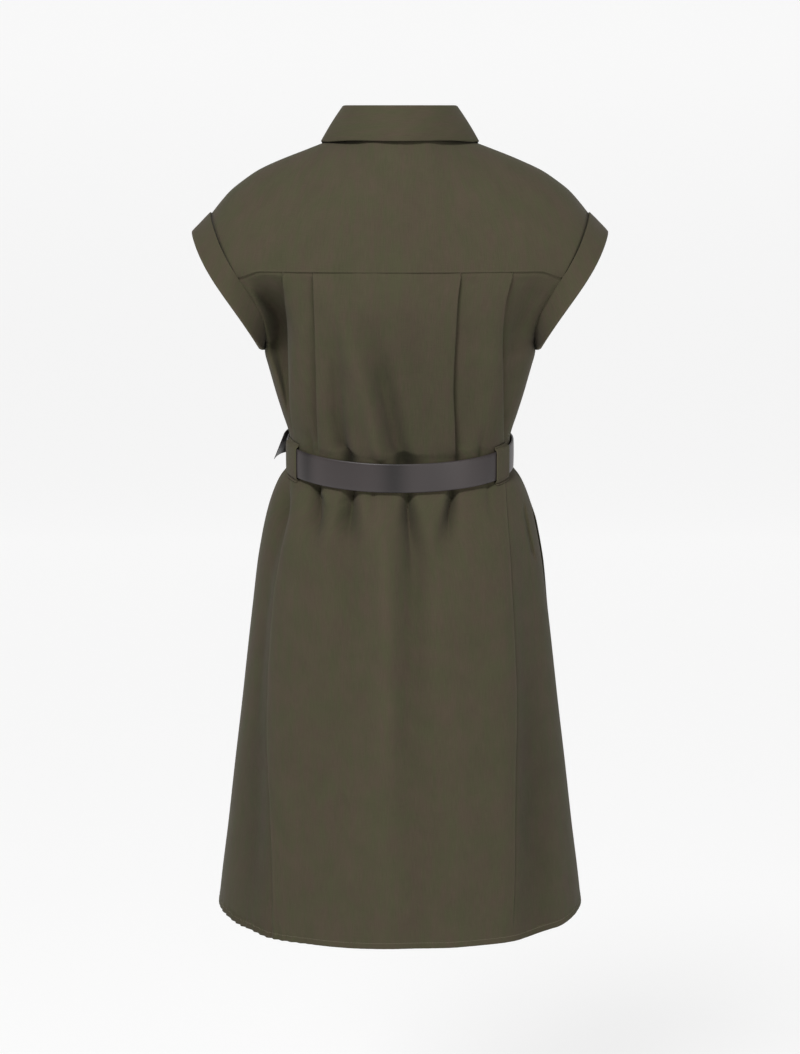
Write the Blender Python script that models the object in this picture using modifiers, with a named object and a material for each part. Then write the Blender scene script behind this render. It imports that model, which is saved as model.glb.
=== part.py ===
"""Belted shirt dress with a back yoke, cap sleeves with turned-up cuffs and a two-piece collar.

The dress keeps the hollow form of a worn garment. It faces -Y, its back is at +Y and the wearer's
left is at +X. The origin lies between the side neck points, where the shoulders hold the dress up.
Every cloth piece is a wall whose outer skin is worked out from body rings, shoulder arches and fold
lines. Lengths are in millimetres, and a mesh is turned into metres where it is made.
"""

import math

import bmesh
import bpy
import numpy as np
from mathutils import Vector

MM = 0.001
NAME = "shirt_dress"

# ---------------------------------------------------------------- driving dimensions
CLOTH = 1.6                 # one layer of the dress cloth
CUFF_CLOTH = 3.4            # a turned-up cuff, folded double and pressed
COLLAR_CLOTH = 2.0          # an interfaced collar piece
SEAM = 0.3                  # gap between two pieces that are sewn together
HEM_TURN = 9.0              # depth of the turned hem
HEM_CLOTH = 2.8
HEM_HEIGHT = -937.0
RING_POWER = 2.2            # 2 is an ellipse, more is squarer
ARCH_FOOT = 95.0            # drop of the body below a shoulder arch's foot for each radian of turn
CHEST_POWER = (1.25, 2.0)   # roundness of the arches before the shoulder, beside the neck and outside
CHEST_POWER_REACH = (45.0, 150.0)   # distances from the middle between which it changes

BACK, FRONT = 1, -1         # side of the body, and the sign of its y
YOKE_LEVEL = -149.0         # height where the back arches meet the body rings
CHEST_LEVEL = -165.0        # the same in front
UNDERARM = -240.0
FRONT_SEAM_Y = -28.0        # the yoke comes this far over the shoulder
SLEEVE_TOP = 215.0          # distance of the shoulder seam's outer end from the middle
SEAM_DIP = 8.0              # drop of the yoke seam's ends, beside the sleeve openings
SEAM_DIP_REACH = (160.0, 190.0)     # distances from the middle between which it drops
YOKE_ROWS = 9
NECK_SHARE = 0.42           # share of the yoke's half width that runs up to the neckline
FRONT_ROWS = 6              # rows of a front above the chest
NECK_HALF_WIDTH = 62.0
NECK_BACK = 56.0
NECK_FRONT = 64.0
STAND_HEIGHT = 34.0
STAND_HEIGHT_FRONT = 27.0
STAND_LAP = math.radians(7.5)       # how far the stand's ends pass the middle front
STAND_LAP_SHIFT = 1.2       # one end lies this far outside the middle of the lap, the other inside
STAND_LAP_REACH = (math.radians(158.0), math.radians(171.0))
STAND_LIFT = 1.4            # the stand's lower edge over the neckline
STAND_INSET = 1.1           # the stand's foot inside the neckline
STAND_LEAN = 0.4            # and its top, further in
STAND_TAPER_START = math.radians(60.0)
COLLAR_END = math.radians(173.0)
COLLAR_HALF_WIDTH = 94.0    # the collar's free edge, from the middle of the neck
COLLAR_BACK = 74.0
COLLAR_TURN = math.radians(96.0)    # the edge leaves the shoulder here for the collar's point
COLLAR_BEND = (88.0, -60.0)         # distance from the middle and depth of the edge's bend
COLLAR_POINT = (44.0, -80.0)        # and of the point itself
COLLAR_COLUMNS = 40
COLLAR_SET_IN = 0.2         # crown of the fold inside the neckline
COLLAR_LEVELS = (-4.0, -9.5)        # height of the free edge at the middle back and over the shoulder
COLLAR_LEVEL_REACH = (0.6, 1.45)    # angles in radians between which it drops
COLLAR_YOKE_LAY = 1.2       # free edge over the yoke
COLLAR_CHEST_LAY = 1.4      # free edge over the chest
COLLAR_POINT_LIFT = 1.2     # and the point, higher still
COLLAR_SWELL = 2.2          # the fall is this much fuller halfway down
COLLAR_DROPS = (0.2, 0.55, 1.0)     # rows of the fall, as shares of the way from the fold to the edge
# fold over the stand, from its crown: outward and up on the outer skin, outward and up on the inner
COLLAR_FOLD = ((-0.9, 2.2, -0.9, 0.2), (1.4, 2.5, 0.9, 0.3), (3.6, 0.9, 1.75, -0.5))
CUFF_START = 1.5            # a cuff's inner edge beyond the sleeve's edge
CUFF_COLUMNS = 40
CUFF_WIDTHS = (0.0, 0.08, 0.5, 0.93, 1.0)   # rows of a cuff, as shares of its width
CUFF_UNDER = (0.13, 0.27)   # it lies flat this near the underarm, in shares of the way round

BELT_CENTRE = -371.0        # at the side seams
BELT_WIDTH = 34.0
BELT_THICK = 3.0
BELT_CLEAR = 1.15           # belt to cloth, so that the placket passes under it
WAIST_HALF_WIDTH = 131.0
WAIST_DEPTH = 92.5
WAIST_SLANT = 14.0          # the waist hangs this much behind and rises as much in front
WAIST_SAG = 3.0             # and sags this much more at both
WAIST_FADE_BELOW = (-500.0, -400.0)
WAIST_FADE_ABOVE = (-344.0, -262.0)
BELT_COLUMNS = 60
BELT_BEVEL = 1.2            # height of a belt edge's bevel
BELT_BEVEL_DEPTH = 0.5
TAIL_THICK = 2.4            # the belt's free end is pared thinner
TAIL_EASE = 0.35            # between the belt, its free end, and what lies over them
TAIL_START = math.radians(188.0)    # angles round the waist from the middle back
TAIL_END = math.radians(97.0)
TAIL_COLUMNS = 16
TAIL_INSET = 0.6            # its edges inside the belt's
TAIL_FREE = (0.6, 0.9)      # shares of its length between which it leaves the belt
TAIL_STAND_OFF = (1.5, 11.0)        # how far the top and bottom of its tip stand off
TAIL_RISE = 3.0             # and how much the tip rises
BUCKLE_WIDTH = 42.0
BUCKLE_HEIGHT = 48.0
BUCKLE_THICK = 3.0
BUCKLE_BAR = 4.0
BUCKLE_BED = 0.1            # the curved belt stands this far into the flat frame's window
BUCKLE_ROUND = 0.9
PRONG_THICK = 2.2
PRONG_WIDTH = 3.2
PRONG_ROUND = 0.6
# middle of each loop and its width, as angles round the waist from the middle back
LOOP_PLACES = {
    "belt_loop_left": (math.radians(70.5), math.radians(18.0)),
    "belt_loop_right": (math.radians(-61.5), math.radians(14.0)),
}
LOOP_CLOTH = 1.5
LOOP_COLUMNS = 4
LOOP_LAY = 0.8              # sewn ends over the dress cloth
LOOP_STEPS = ((5.5, True), (3.4, True), (0.9, False), (-3.0, False))    # past the belt, sewn down or not

PLACKET_HALF = 15.0
PLACKET_RISE = 0.8
PLACKET_CLOTH = 2.0
PLACKET_TOP_STEPS = (1.2, 12.0, 28.0)       # rows under the neckline
PLACKET_CHEST_ROWS = (-110.0, -130.0, -150.0)
UNDERLAP_DROP = 1.6         # the left front lies this much lower under the placket
UNDERLAP_REACH = (1.0, 14.0)        # distances past the placket between which it rises again
CLOSURE_START = 29.0        # the fronts' columns are close together from here to the placket
SHOULDER_COLUMNS = 8        # a front's columns along its shoulder seam
NECK_COLUMNS = 4            # and along its neckline, as far as the closure
BUTTON_RADIUS = 5.75
BUTTON_THICK = 2.6
BUTTON_ROUND = 1.0          # width of the rounded rim
BUTTON_ROUND_DROP = 0.5
BUTTON_TAPER = 0.4          # the underside is this much smaller all round
BUTTON_STEPS = 12
BUTTON_HEIGHTS = (-96.0, -165.0, -235.0, -305.0, -450.0, -535.0, -620.0, -705.0)

# rows of the body: height, half width at the side seams, depth behind and before the side seams
BODY_ROWS = (
    (-149.0, 193.0, 100.0, 99.0),
    (-180.0, 173.0, 102.0, 107.0),
    (-210.0, 160.0, 104.0, 112.0),
    (-240.0, 155.0, 105.0, 117.0),
    (-253.0, 157.5, 105.0, 119.0),
    (-265.0, 157.5, 104.5, 119.5),
    (-280.0, 153.0, 104.0, 118.0),
    (-297.0, 147.0, 103.0, 115.0),
    (-321.0, 140.0, 100.0, 109.0),
    (-344.0, 132.5, 95.5, 100.0),
    (-352.0, WAIST_HALF_WIDTH, WAIST_DEPTH, WAIST_DEPTH),
    (-389.0, WAIST_HALF_WIDTH, WAIST_DEPTH, WAIST_DEPTH),
    (-396.0, 138.0, 97.5, 96.5),
    (-406.0, 145.5, 103.0, 101.0),
    (-430.0, 155.5, 112.0, 108.0),
    (-454.0, 162.0, 119.5, 113.0),
    (-479.0, 167.0, 125.5, 117.0),
    (-503.0, 171.0, 130.0, 120.5),
    (-552.0, 177.0, 136.5, 126.0),
    (-602.0, 183.0, 141.0, 130.0),
    (-677.0, 191.7, 146.5, 136.0),
    (-752.0, 201.0, 151.0, 141.0),
    (-828.0, 210.0, 155.0, 145.5),
    (-880.0, 216.7, 158.0, 148.5),
    (-937.0, 222.4, 160.5, 151.0),
)

# shoulder line, from the middle of the neck to the cuff: distance from the middle, height
SHOULDER_ROWS = (
    (0.0, 34.0), (30.0, 25.0), (50.0, 10.0), (66.0, 2.0), (90.0, -6.5), (112.0, -15.0),
    (141.0, -26.5), (166.0, -38.0), (184.0, -50.0), (198.0, -61.0), (209.0, -73.0), (221.0, -88.0),
)

# sleeve opening below the arches: height, distance from the middle, depth behind, depth before
ARMHOLE_ROWS = (
    (-88.0, 221.0, 60.0, 60.0),
    (-110.0, 212.0, 66.0, 66.0),
    (-131.0, 202.5, 71.0, 70.0),
    (-149.0, 193.0, 73.5, 71.5),
    (-165.0, 184.0, 70.0, 70.0),
    (-185.0, 171.5, 61.0, 62.0),
    (-204.0, 162.0, 50.0, 52.0),
    (-222.0, 157.0, 35.0, 37.0),
    (-234.0, 155.0, 18.0, 19.0),
    (-240.0, 155.0, 0.0, 0.0),
)

# outer edge of a cuff: a flat loop, high at the shoulder and low at the underarm
CUFF_TOP = (243.0, -110.0)
CUFF_BOTTOM = (161.0, -253.0)
CUFF_HALF_DEPTH = 77.0

# back fold lines: height and distance from the middle, for each line from the right side to the left
BACK_LINES = {
    "right_side": ((-149, -130), (-190, -121), (-230, -119), (-281, -120), (-350, -123),
                   (-403, -125), (-460, -128), (-522, -132), (-600, -137), (-657, -139),
                   (-750, -137), (-844, -137), (-937, -134)),
    "right_pleat": ((-149, -70), (-183, -66), (-226, -64), (-277, -62), (-330, -65), (-366, -66),
                    (-411, -62), (-445, -54), (-520, -62), (-937, -80)),
    "slant": ((-149, 66), (-243, 33), (-307, 17), (-370, 2), (-410, -9), (-456, -17),
              (-547, -18), (-640, -18), (-937, -20)),
    "waist_tuck": ((-149, 84), (-200, 86), (-245, 86), (-320, 72), (-365, 55), (-406, 57),
                   (-457, 62), (-548, 62), (-937, 66)),
    "left_pleat": ((-149, 99.5), (-210, 98), (-279, 97), (-365, 95.5), (-400, 96), (-427, 106),
                   (-450, 110), (-548, 112), (-937, 112)),
    "left_side": ((-149, 135), (-197, 132), (-249, 130.5), (-282, 129.5), (-357, 126),
                  (-403, 134), (-472, 142), (-554, 152), (-635, 158), (-694, 160),
                  (-785, 155), (-847, 152), (-937, 151)),
}

# height of each back fold's step or hollow along its line: height, rise in mm
BACK_PLEATS = {
    # cloth steps down towards the side of the body across the line
    "right_side": (-1, ((-149, 1.0), (-185, 3.2), (-280, 4.2), (-340, 3.0), (-350, 0.0))),
    "right_pleat": (-1, ((-149, 1.6), (-180, 2.2), (-277, 3.2), (-335, 4.0), (-352, 0.0))),
    "left_pleat": (1, ((-149, 1.6), (-180, 2.0), (-279, 2.8), (-335, 3.2), (-352, 0.0))),
    "left_side": (1, ((-149, 1.0), (-185, 3.6), (-250, 5.0), (-310, 3.5), (-350, 0.0))),
}
PLEAT_EDGE = 1.3            # half the width in which a pleat's edge falls
PLEAT_REACH = 24.0          # how far the cloth beside a pleat leans up to it or away from it
PLEAT_SINK = 0.28           # share of a pleat's step by which the cloth round it lies lower
OPENING_HOLD = (1.0, 13.0)  # folds grow between these distances from a sleeve opening
OPENING_FOOT = (-14.0, 8.0) # and are held so only above these heights over the underarm
SEAM_HOLD = (0.0, 16.0)     # below them they grow between these distances from a side seam

# soft hollows and ridges, on the side of the body they belong to:
# height, distance from the middle, half width, rise (less than 0 is a hollow)
SOFT_FOLDS = (
    # the long slanting fold and the pockets just above the belt
    (BACK, ((-200, 62, 20, 0.0), (-250, 48, 17, 2.2), (-310, 32, 15, 3.6), (-344, 21, 13, 3.5),
            (-352, 18, 12, 0.0))),
    (BACK, ((-200, 40, 18, 0.0), (-250, 16, 16, -2.6), (-310, 2, 14, -4.2), (-344, -12, 13, -8.0),
            (-352, -14, 12, 0.0))),
    (BACK, ((-215, 84, 13, 0.0), (-260, 80, 13, -2.6), (-320, 68, 12, -4.5), (-344, 57, 9, -8.5),
            (-352, 55, 9, 0.0))),
    # hollow between the left sleeve and its pleat, and a lighter one on the right
    (BACK, ((-149, 172, 12, 0.0), (-172, 166, 14, -10.0), (-210, 147, 13, -22.0),
            (-250, 138.5, 9, -18.0), (-285, 133, 6, -6.0), (-310, 131, 6, 0.0))),
    (BACK, ((-149, -160, 14, 0.0), (-185, -150, 16, -5.0), (-215, -142, 13, -6.0),
            (-262, -136, 10, -3.0), (-300, -133, 9, 0.0))),
    # gathers under the belt
    (BACK, ((-391, 57, 6, 0.0), (-403, 58, 8, -8.5), (-420, 62, 13, -9.0), (-470, 66, 20, -6.0),
            (-560, 66, 26, -3.5), (-700, 68, 34, 0.0))),
    (BACK, ((-391, -9, 6, 0.0), (-403, -10, 7, -9.0), (-425, -13, 10, -9.5), (-470, -20, 16, -9.0),
            (-560, -20, 20, -6.5), (-700, -20, 24, -4.0), (-880, -22, 30, 0.0))),
    (BACK, ((-391, 24, 10, 0.0), (-410, 24, 12, 2.5), (-470, 19, 15, 4.0), (-600, 15, 17, 4.0),
            (-760, 12, 22, 2.5), (-900, 8, 28, 0.0))),
    (BACK, ((-391, -61, 5, 0.0), (-403, -60, 7, -7.5), (-425, -55, 10, -6.5), (-460, -50, 14, -3.0),
            (-500, -48, 16, 0.0))),
    (BACK, ((-391, 97, 6, 0.0), (-403, 98, 8, -3.5), (-430, 105, 11, -4.0), (-480, 110, 16, 0.0))),
    (BACK, ((-391, 137, 6, 0.0), (-402, 141, 7, -5.0), (-425, 148, 9, -5.0), (-470, 156, 12, 0.0))),
    # the cloth turns away outside the two long edges of the skirt
    (BACK, ((-403, 146, 10, 0.0), (-480, 164, 16, -3.0), (-640, 180, 20, -7.0), (-800, 182, 22, -9.0),
            (-890, 185, 22, -5.0), (-937, 190, 20, -3.0))),
    (BACK, ((-403, -137, 10, 0.0), (-480, -148, 16, -3.5), (-640, -160, 20, -9.0),
            (-800, -164, 22, -11.0), (-890, -164, 22, -8.0), (-937, -164, 20, -6.0))),
    # front: cloth drawn in over the bust and gathered at the belt
    (FRONT, ((-250, 76, 18, 0.0), (-300, 70, 16, -3.5), (-344, 62, 11, -6.5), (-352, 60, 9, 0.0))),
    (FRONT, ((-250, -80, 18, 0.0), (-300, -72, 16, -3.0), (-344, -66, 11, -6.0), (-352, -64, 9, 0.0))),
    (FRONT, ((-270, 108, 16, 0.0), (-315, 102, 14, -3.0), (-344, 98, 9, -5.0), (-352, 96, 9, 0.0))),
    (FRONT, ((-265, -112, 16, 0.0), (-315, -106, 14, -3.4), (-344, -100, 9, -5.5), (-352, -98, 9, 0.0))),
    (FRONT, ((-391, 48, 6, 0.0), (-404, 48, 8, -7.5), (-440, 52, 13, -7.5), (-560, 56, 22, -5.0),
             (-760, 60, 28, 0.0))),
    (FRONT, ((-391, -44, 6, 0.0), (-404, -45, 8, -8.0), (-440, -50, 13, -8.0), (-590, -56, 22, -5.0),
             (-780, -62, 28, 0.0))),
    (FRONT, ((-391, 88, 6, 0.0), (-404, 90, 8, -6.5), (-440, 96, 13, -6.0), (-540, 104, 22, -4.0),
             (-700, 110, 26, -2.0), (-900, 116, 30, 0.0))),
    (FRONT, ((-391, -92, 6, 0.0), (-404, -93, 8, -6.0), (-440, -98, 13, -6.5), (-520, -104, 20, -4.0),
             (-760, -118, 28, 0.0))),
    (FRONT, ((-391, 68, 9, 0.0), (-420, 70, 12, 2.5), (-560, 80, 18, 3.5), (-760, 86, 24, 3.0),
             (-937, 90, 28, 2.0))),
    (FRONT, ((-391, -68, 9, 0.0), (-420, -71, 12, 2.5), (-560, -80, 18, 3.0), (-760, -90, 24, 3.5),
             (-937, -96, 28, 2.0))),
    (FRONT, ((-391, 124, 6, 0.0), (-404, 130, 7, -4.0), (-440, 140, 10, -4.5), (-520, 148, 14, 0.0))),
    (FRONT, ((-391, -120, 6, 0.0), (-404, -126, 7, -4.5), (-440, -136, 10, -4.0), (-520, -146, 14, 0.0))),
)

# side pocket: top and bottom of its mouth, depth of the bag below it, and how far it reaches forward
POCKET_TOP = -430.0
POCKET_BOTTOM = -565.0
POCKET_BAG_TOP = -412.0
POCKET_BAG_BOTTOM = -628.0
POCKET_REACH = 110.0
POCKET_INSET = 13.0         # the bag's back edge from the side seam
POCKET_CLOTH = 2.4          # the bag's two layers, lying together
POCKET_CLEAR = 1.3          # the bag under the front
POCKET_GAPE = 4.5           # how far the open mouth on the wearer's right stands apart
POCKET_GAPE_SHARES = {BACK: -0.75, FRONT: 0.25}     # the back's edge lies in, the front's stands out
POCKET_GAPE_FADES = (70.0, 25.0)    # lengths over which the mouth opens, from its foot and its top
POCKET_GAPE_WIDTH = 9.0
POCKET_GRID = 8             # rows and columns of a bag
POCKET_NECK = 0.72          # a bag's top is this share of its full reach
POCKET_NECK_END = 0.375     # share of its height where the full reach begins
POCKET_ROUND = (0.625, 0.4) # share of its height where the bottom starts to round off, and over how much
POCKET_FOOT = 0.05          # least square of the reach left at the bottom
POCKET_TURN = 1.12          # the ring near the side seam is this much flatter than a circle

# heights of the wall's rows, from the yoke level down to the hem
BODICE_HEIGHTS = (-172, -195, -215, -230, -240, -252, -264, -280, -300, -320, -334, -344, -352)
SKIRT_HEIGHTS = (-389, -392, -397, -405, -414, -430, -450, -475, -508, -550, -610, -690, -780, -860,
                 -907, -928, -937)

# ---------------------------------------------------------------- finishes
CLOTH_COLOUR = (0.080, 0.067, 0.044, 1.0)
BELT_COLOUR = (0.046, 0.036, 0.038, 1.0)
BUTTON_COLOUR = (0.060, 0.048, 0.034, 1.0)
METAL_COLOUR = (0.16, 0.15, 0.14, 1.0)


# ---------------------------------------------------------------- numbers
def smooth_step(value, low, high):
    """0 below low, 1 above high and an S-curve between them."""
    share = np.clip((value - low) / (high - low), 0.0, 1.0)
    return share * share * (3.0 - 2.0 * share)


def table(rows, column, value):
    """Read one column of a table of rows by its first column, along a smooth curve.

    The slopes are limited so that the curve never overshoots a row.
    """
    points = sorted((row[0], row[column]) for row in rows)
    keys = [point[0] for point in points]
    values = [point[1] for point in points]
    if value <= keys[0]:
        return values[0]
    if value >= keys[-1]:
        return values[-1]
    place = max(index for index, key in enumerate(keys) if key <= value)
    steps = [(values[i + 1] - values[i]) / (keys[i + 1] - keys[i]) for i in range(len(keys) - 1)]

    def slope(index):
        if index == 0:
            return steps[0]
        if index == len(keys) - 1:
            return steps[-1]
        before, after = steps[index - 1], steps[index]
        if before * after <= 0.0:
            return 0.0
        return 2.0 * before * after / (before + after)

    width = keys[place + 1] - keys[place]
    t = (value - keys[place]) / width
    start, end = values[place], values[place + 1]
    return (
        (2 * t**3 - 3 * t**2 + 1) * start
        + (t**3 - 2 * t**2 + t) * width * slope(place)
        + (3 * t**2 - 2 * t**3) * end
        + (t**3 - t**2) * width * slope(place + 1)
    )


def unit(vector):
    """A vector of length 1 along the given one."""
    return vector / max(np.linalg.norm(vector), 1e-9)


# ---------------------------------------------------------------- body form
def ring_sizes(side, height):
    """Half width, depth and edge angle of the body's ring at a height.

    Above the underarm the ring is open at the side, and its edge lies on the sleeve opening.
    """
    depth = table(BODY_ROWS, 2 if side == BACK else 3, height)
    if height <= UNDERARM:
        return table(BODY_ROWS, 1, height), depth, math.pi / 2
    edge_x = table(ARMHOLE_ROWS, 1, height)
    edge_y = table(ARMHOLE_ROWS, 2 if side == BACK else 3, height)
    share = edge_y / depth
    half_width = edge_x / (1.0 - share**RING_POWER) ** (1.0 / RING_POWER)
    return half_width, depth, math.atan2(edge_x / half_width, share)


def belt_dip(side, angle):
    """How far the waist line hangs below its height at the side seams; it rises in front."""
    forward = side * math.cos(angle)
    return -WAIST_SLANT * forward - WAIST_SAG * forward**2


def waist_window(height):
    """1 around the belt, fading to 0 above and below it."""
    above = smooth_step(height, *WAIST_FADE_ABOVE)
    return float(smooth_step(height, *WAIST_FADE_BELOW) * (1.0 - above))


def ring_point(side, angle, height):
    """A point of the smooth body form: angle 0 is the middle back or front, 90 degrees the side."""
    half_width, depth, _ = ring_sizes(side, height)
    reach = (abs(math.cos(angle)) ** RING_POWER + abs(math.sin(angle)) ** RING_POWER)
    reach = reach ** (-1.0 / RING_POWER)
    dip = belt_dip(side, angle) * waist_window(height)
    return np.array((
        half_width * reach * math.sin(angle),
        side * depth * reach * math.cos(angle),
        height + dip,
    ))


def ring_depth(side, across, height):
    """Depth of the body's ring at a distance from the middle."""
    half_width, depth, _ = ring_sizes(side, height)
    share = min(abs(across) / half_width, 1.0)
    return depth * (1.0 - share**RING_POWER) ** (1.0 / RING_POWER)


def ring_angle(side, across, height):
    """The ring's angle at a distance from the middle."""
    half_width, depth, edge = ring_sizes(side, height)
    share = min(abs(across) / half_width, 1.0)
    rest = (1.0 - share**RING_POWER) ** (1.0 / RING_POWER)
    return math.copysign(min(math.atan2(share, rest), edge), across)


def arch_power(side, across):
    """Roundness of a shoulder arch: the chest beside the neck is nearly straight."""
    beside, outside = CHEST_POWER
    if side == BACK:
        return outside
    return beside + (outside - beside) * float(smooth_step(abs(across), *CHEST_POWER_REACH))


def arch_point(side, across, turn):
    """A point on the arch over the shoulder: turn 0 is the shoulder line, 90 degrees its foot.

    Past 90 degrees the arch goes on down the body's rings.
    """
    level = YOKE_LEVEL if side == BACK else CHEST_LEVEL
    if turn > math.pi / 2:
        height = level - (turn - math.pi / 2) * ARCH_FOOT
        return np.array((across, side * ring_depth(side, across, height), height))
    power = 2.0 / arch_power(side, across)
    top = table(SHOULDER_ROWS, 1, abs(across))
    depth = ring_depth(side, across, level)
    return np.array((
        across,
        side * depth * math.sin(turn) ** power,
        level + (top - level) * max(math.cos(turn), 0.0) ** power,
    ))


def arch_turn(side, across, forth):
    """The turn at which the arch reaches a distance before or behind the shoulder line."""
    level = YOKE_LEVEL if side == BACK else CHEST_LEVEL
    share = min(abs(forth) / ring_depth(side, across, level), 1.0)
    return math.asin(share ** (arch_power(side, across) / 2.0))


def shoulder_point(across, turn):
    """A point on the shoulders by a signed turn: above 0 behind the shoulder line, below 0 before."""
    side = BACK if turn >= 0.0 else FRONT
    return arch_point(side, across, abs(turn))


def edge_across(turn):
    """Distance from the middle at which an arch of a signed turn reaches the sleeve opening."""
    across = 200.0
    for _ in range(14):
        across = table(ARMHOLE_ROWS, 1, shoulder_point(across, turn)[2])
    return across


def neck_place(angle):
    """The neckline at an angle (0 behind, 180 in front) as a distance from the middle and a turn."""
    across = NECK_HALF_WIDTH * math.sin(angle)
    forth = (NECK_BACK if math.cos(angle) >= 0.0 else NECK_FRONT) * math.cos(angle)
    side = BACK if forth >= 0.0 else FRONT
    return across, math.copysign(arch_turn(side, across, forth), forth)


def neck_point(angle):
    """A point on the neckline, on the outer side of the cloth."""
    return shoulder_point(*neck_place(angle))


# ---------------------------------------------------------------- folds
def pleat_rise(across, height):
    """Rise of the back's knife pleats: cloth stands up on one side of a line and steps down past it."""
    total = 0.0
    for name, (outward, rises) in BACK_PLEATS.items():
        rise = table(rises, 1, height) if height > rises[-1][0] else 0.0
        if rise <= 0.0:
            continue
        past = (across - table(BACK_LINES[name], 1, height)) * outward
        edge = 1.0 - 2.0 * float(smooth_step(past, -PLEAT_EDGE, PLEAT_EDGE))
        reach = math.exp(-((max(abs(past) - PLEAT_EDGE, 0.0) / PLEAT_REACH) ** 2))
        total += rise * (edge * (1.0 - PLEAT_SINK) - PLEAT_SINK) * reach
    return total


def edge_fade(across, height):
    """0 at the sleeve opening and at the side seam under it, which hold the cloth, and 1 away from them."""
    low, high = OPENING_FOOT
    above = float(smooth_step(height, UNDERARM + low, UNDERARM + high))
    opening = float(smooth_step(table(ARMHOLE_ROWS, 1, height) - abs(across), *OPENING_HOLD))
    seam = float(smooth_step(table(BODY_ROWS, 1, height) - abs(across), *SEAM_HOLD))
    return (1.0 - above * (1.0 - opening)) * (1.0 - (1.0 - above) * (1.0 - seam))


def soft_rise(side, across, height):
    """Rise of the soft folds on one side of the body."""
    total = 0.0
    for fold_side, rows in SOFT_FOLDS:
        if fold_side != side or not rows[-1][0] < height < rows[0][0]:
            continue
        middle, width, rise = (table(rows, column, height) for column in (1, 2, 3))
        total += rise * math.exp(-(((across - middle) / width) ** 2))
    return total * edge_fade(across, height)


def pocket_rise(side, across, height):
    """The right pocket's mouth: the back's edge lies in and the front's edge stands out."""
    if across > 0.0:
        return 0.0
    foot_fade, top_fade = POCKET_GAPE_FADES
    along = float(smooth_step(height, POCKET_BOTTOM, POCKET_BOTTOM + foot_fade))
    along *= 1.0 - float(smooth_step(height, POCKET_TOP - top_fade, POCKET_TOP))
    edge = table(BODY_ROWS, 1, height)
    near = math.exp(-(((edge - abs(across)) / POCKET_GAPE_WIDTH) ** 2))
    return POCKET_GAPE * along * near * POCKET_GAPE_SHARES[side]


def underlap_rise(across):
    """The left front lies lower where the placket and its buttons pass over it."""
    return -UNDERLAP_DROP * (1.0 - float(smooth_step(across - PLACKET_HALF, *UNDERLAP_REACH)))


def left_front_rise(across, height):
    """Rise of the left front, which passes under the placket."""
    return cloth_rise(FRONT, across, height) + underlap_rise(across)


def right_front_rise(across, height):
    """Rise of the right front, which ends at the placket."""
    return cloth_rise(FRONT, across, height)


def cloth_rise(side, across, height):
    """Rise of the dress cloth over the smooth body form."""
    rise = soft_rise(side, across, height) + pocket_rise(side, across, height)
    if side == BACK:
        rise += pleat_rise(across, height)
    return rise


# ---------------------------------------------------------------- meshes
def collection(name):
    """A collection in the scene."""
    group = bpy.data.collections.new(name)
    bpy.context.scene.collection.children.link(group)
    return group


def finish(name, colour, roughness, metallic=0.0):
    """A material with a Principled shader."""
    material = bpy.data.materials.new(name)
    material.use_nodes = True
    shader = material.node_tree.nodes["Principled BSDF"]
    shader.inputs["Base Color"].default_value = colour
    shader.inputs["Roughness"].default_value = roughness
    shader.inputs["Metallic"].default_value = metallic
    return material


def add_object(name, points, faces, colour, roughness, metallic=0.0):
    """A smooth-shaded mesh object of its own material, from points in millimetres."""
    mesh = bpy.data.meshes.new(name)
    mesh.from_pydata([tuple(float(value) * MM for value in point) for point in points], [], faces)
    mesh.update()
    mesh.shade_smooth()
    mesh.set_sharp_from_angle(angle=math.radians(40.0))
    mesh.materials.append(finish(name, colour, roughness, metallic))
    thing = bpy.data.objects.new(name, mesh)
    PARTS.objects.link(thing)
    return thing


def wall(name, outer, inner, closed=False, colour=CLOTH_COLOUR, roughness=0.85):
    """A closed wall between two skins of rows of points; closed joins each row's ends.

    The outer skin is seen with its rows running down and its columns running to the right.
    """
    rows, columns = len(outer), len(outer[0])
    points = [point for row in outer for point in row] + [point for row in inner for point in row]
    back = rows * columns

    def at(row, column, skin=0):
        return skin * back + row * columns + column % columns

    faces = []
    spans = columns if closed else columns - 1
    for row in range(rows - 1):
        for column in range(spans):
            corners = [(row, column), (row + 1, column), (row + 1, column + 1), (row, column + 1)]
            faces.append([at(*corner) for corner in corners])
            faces.append([at(*corner, 1) for corner in reversed(corners)])
    for column in range(spans):
        faces.append([at(0, column), at(0, column + 1), at(0, column + 1, 1), at(0, column, 1)])
        low = rows - 1
        faces.append([at(low, column + 1), at(low, column), at(low, column, 1), at(low, column + 1, 1)])
    if not closed:
        for row in range(rows - 1):
            end = columns - 1
            faces.append([at(row + 1, 0), at(row, 0), at(row, 0, 1), at(row + 1, 0, 1)])
            faces.append([at(row, end), at(row + 1, end), at(row + 1, end, 1), at(row, end, 1)])
    return add_object(name, points, faces, colour, roughness)


def form_normal(side, angle, height):
    """Outward normal of the smooth body form."""
    step = 0.01
    spread = ring_point(side, angle + step, height) - ring_point(side, angle - step, height)
    fall = ring_point(side, angle, height - 1.0) - ring_point(side, angle, height + 1.0)
    normal = np.cross(fall, spread)
    return unit(normal * math.copysign(1.0, normal[1] * side + 1e-6 * abs(normal[0])))


def side_normal(side, angle, height):
    """The form's normal, the same for front and back at the side seam."""
    if height <= UNDERARM and abs(abs(angle) - math.pi / 2) < 0.02:
        lean = ring_point(side, angle, height + 2.0) - ring_point(side, angle, height - 2.0)
        return unit(np.array((math.copysign(lean[2], angle), 0.0, -abs(lean[0]) * np.sign(
            lean[0] * angle))))
    return form_normal(side, angle, height)


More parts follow.
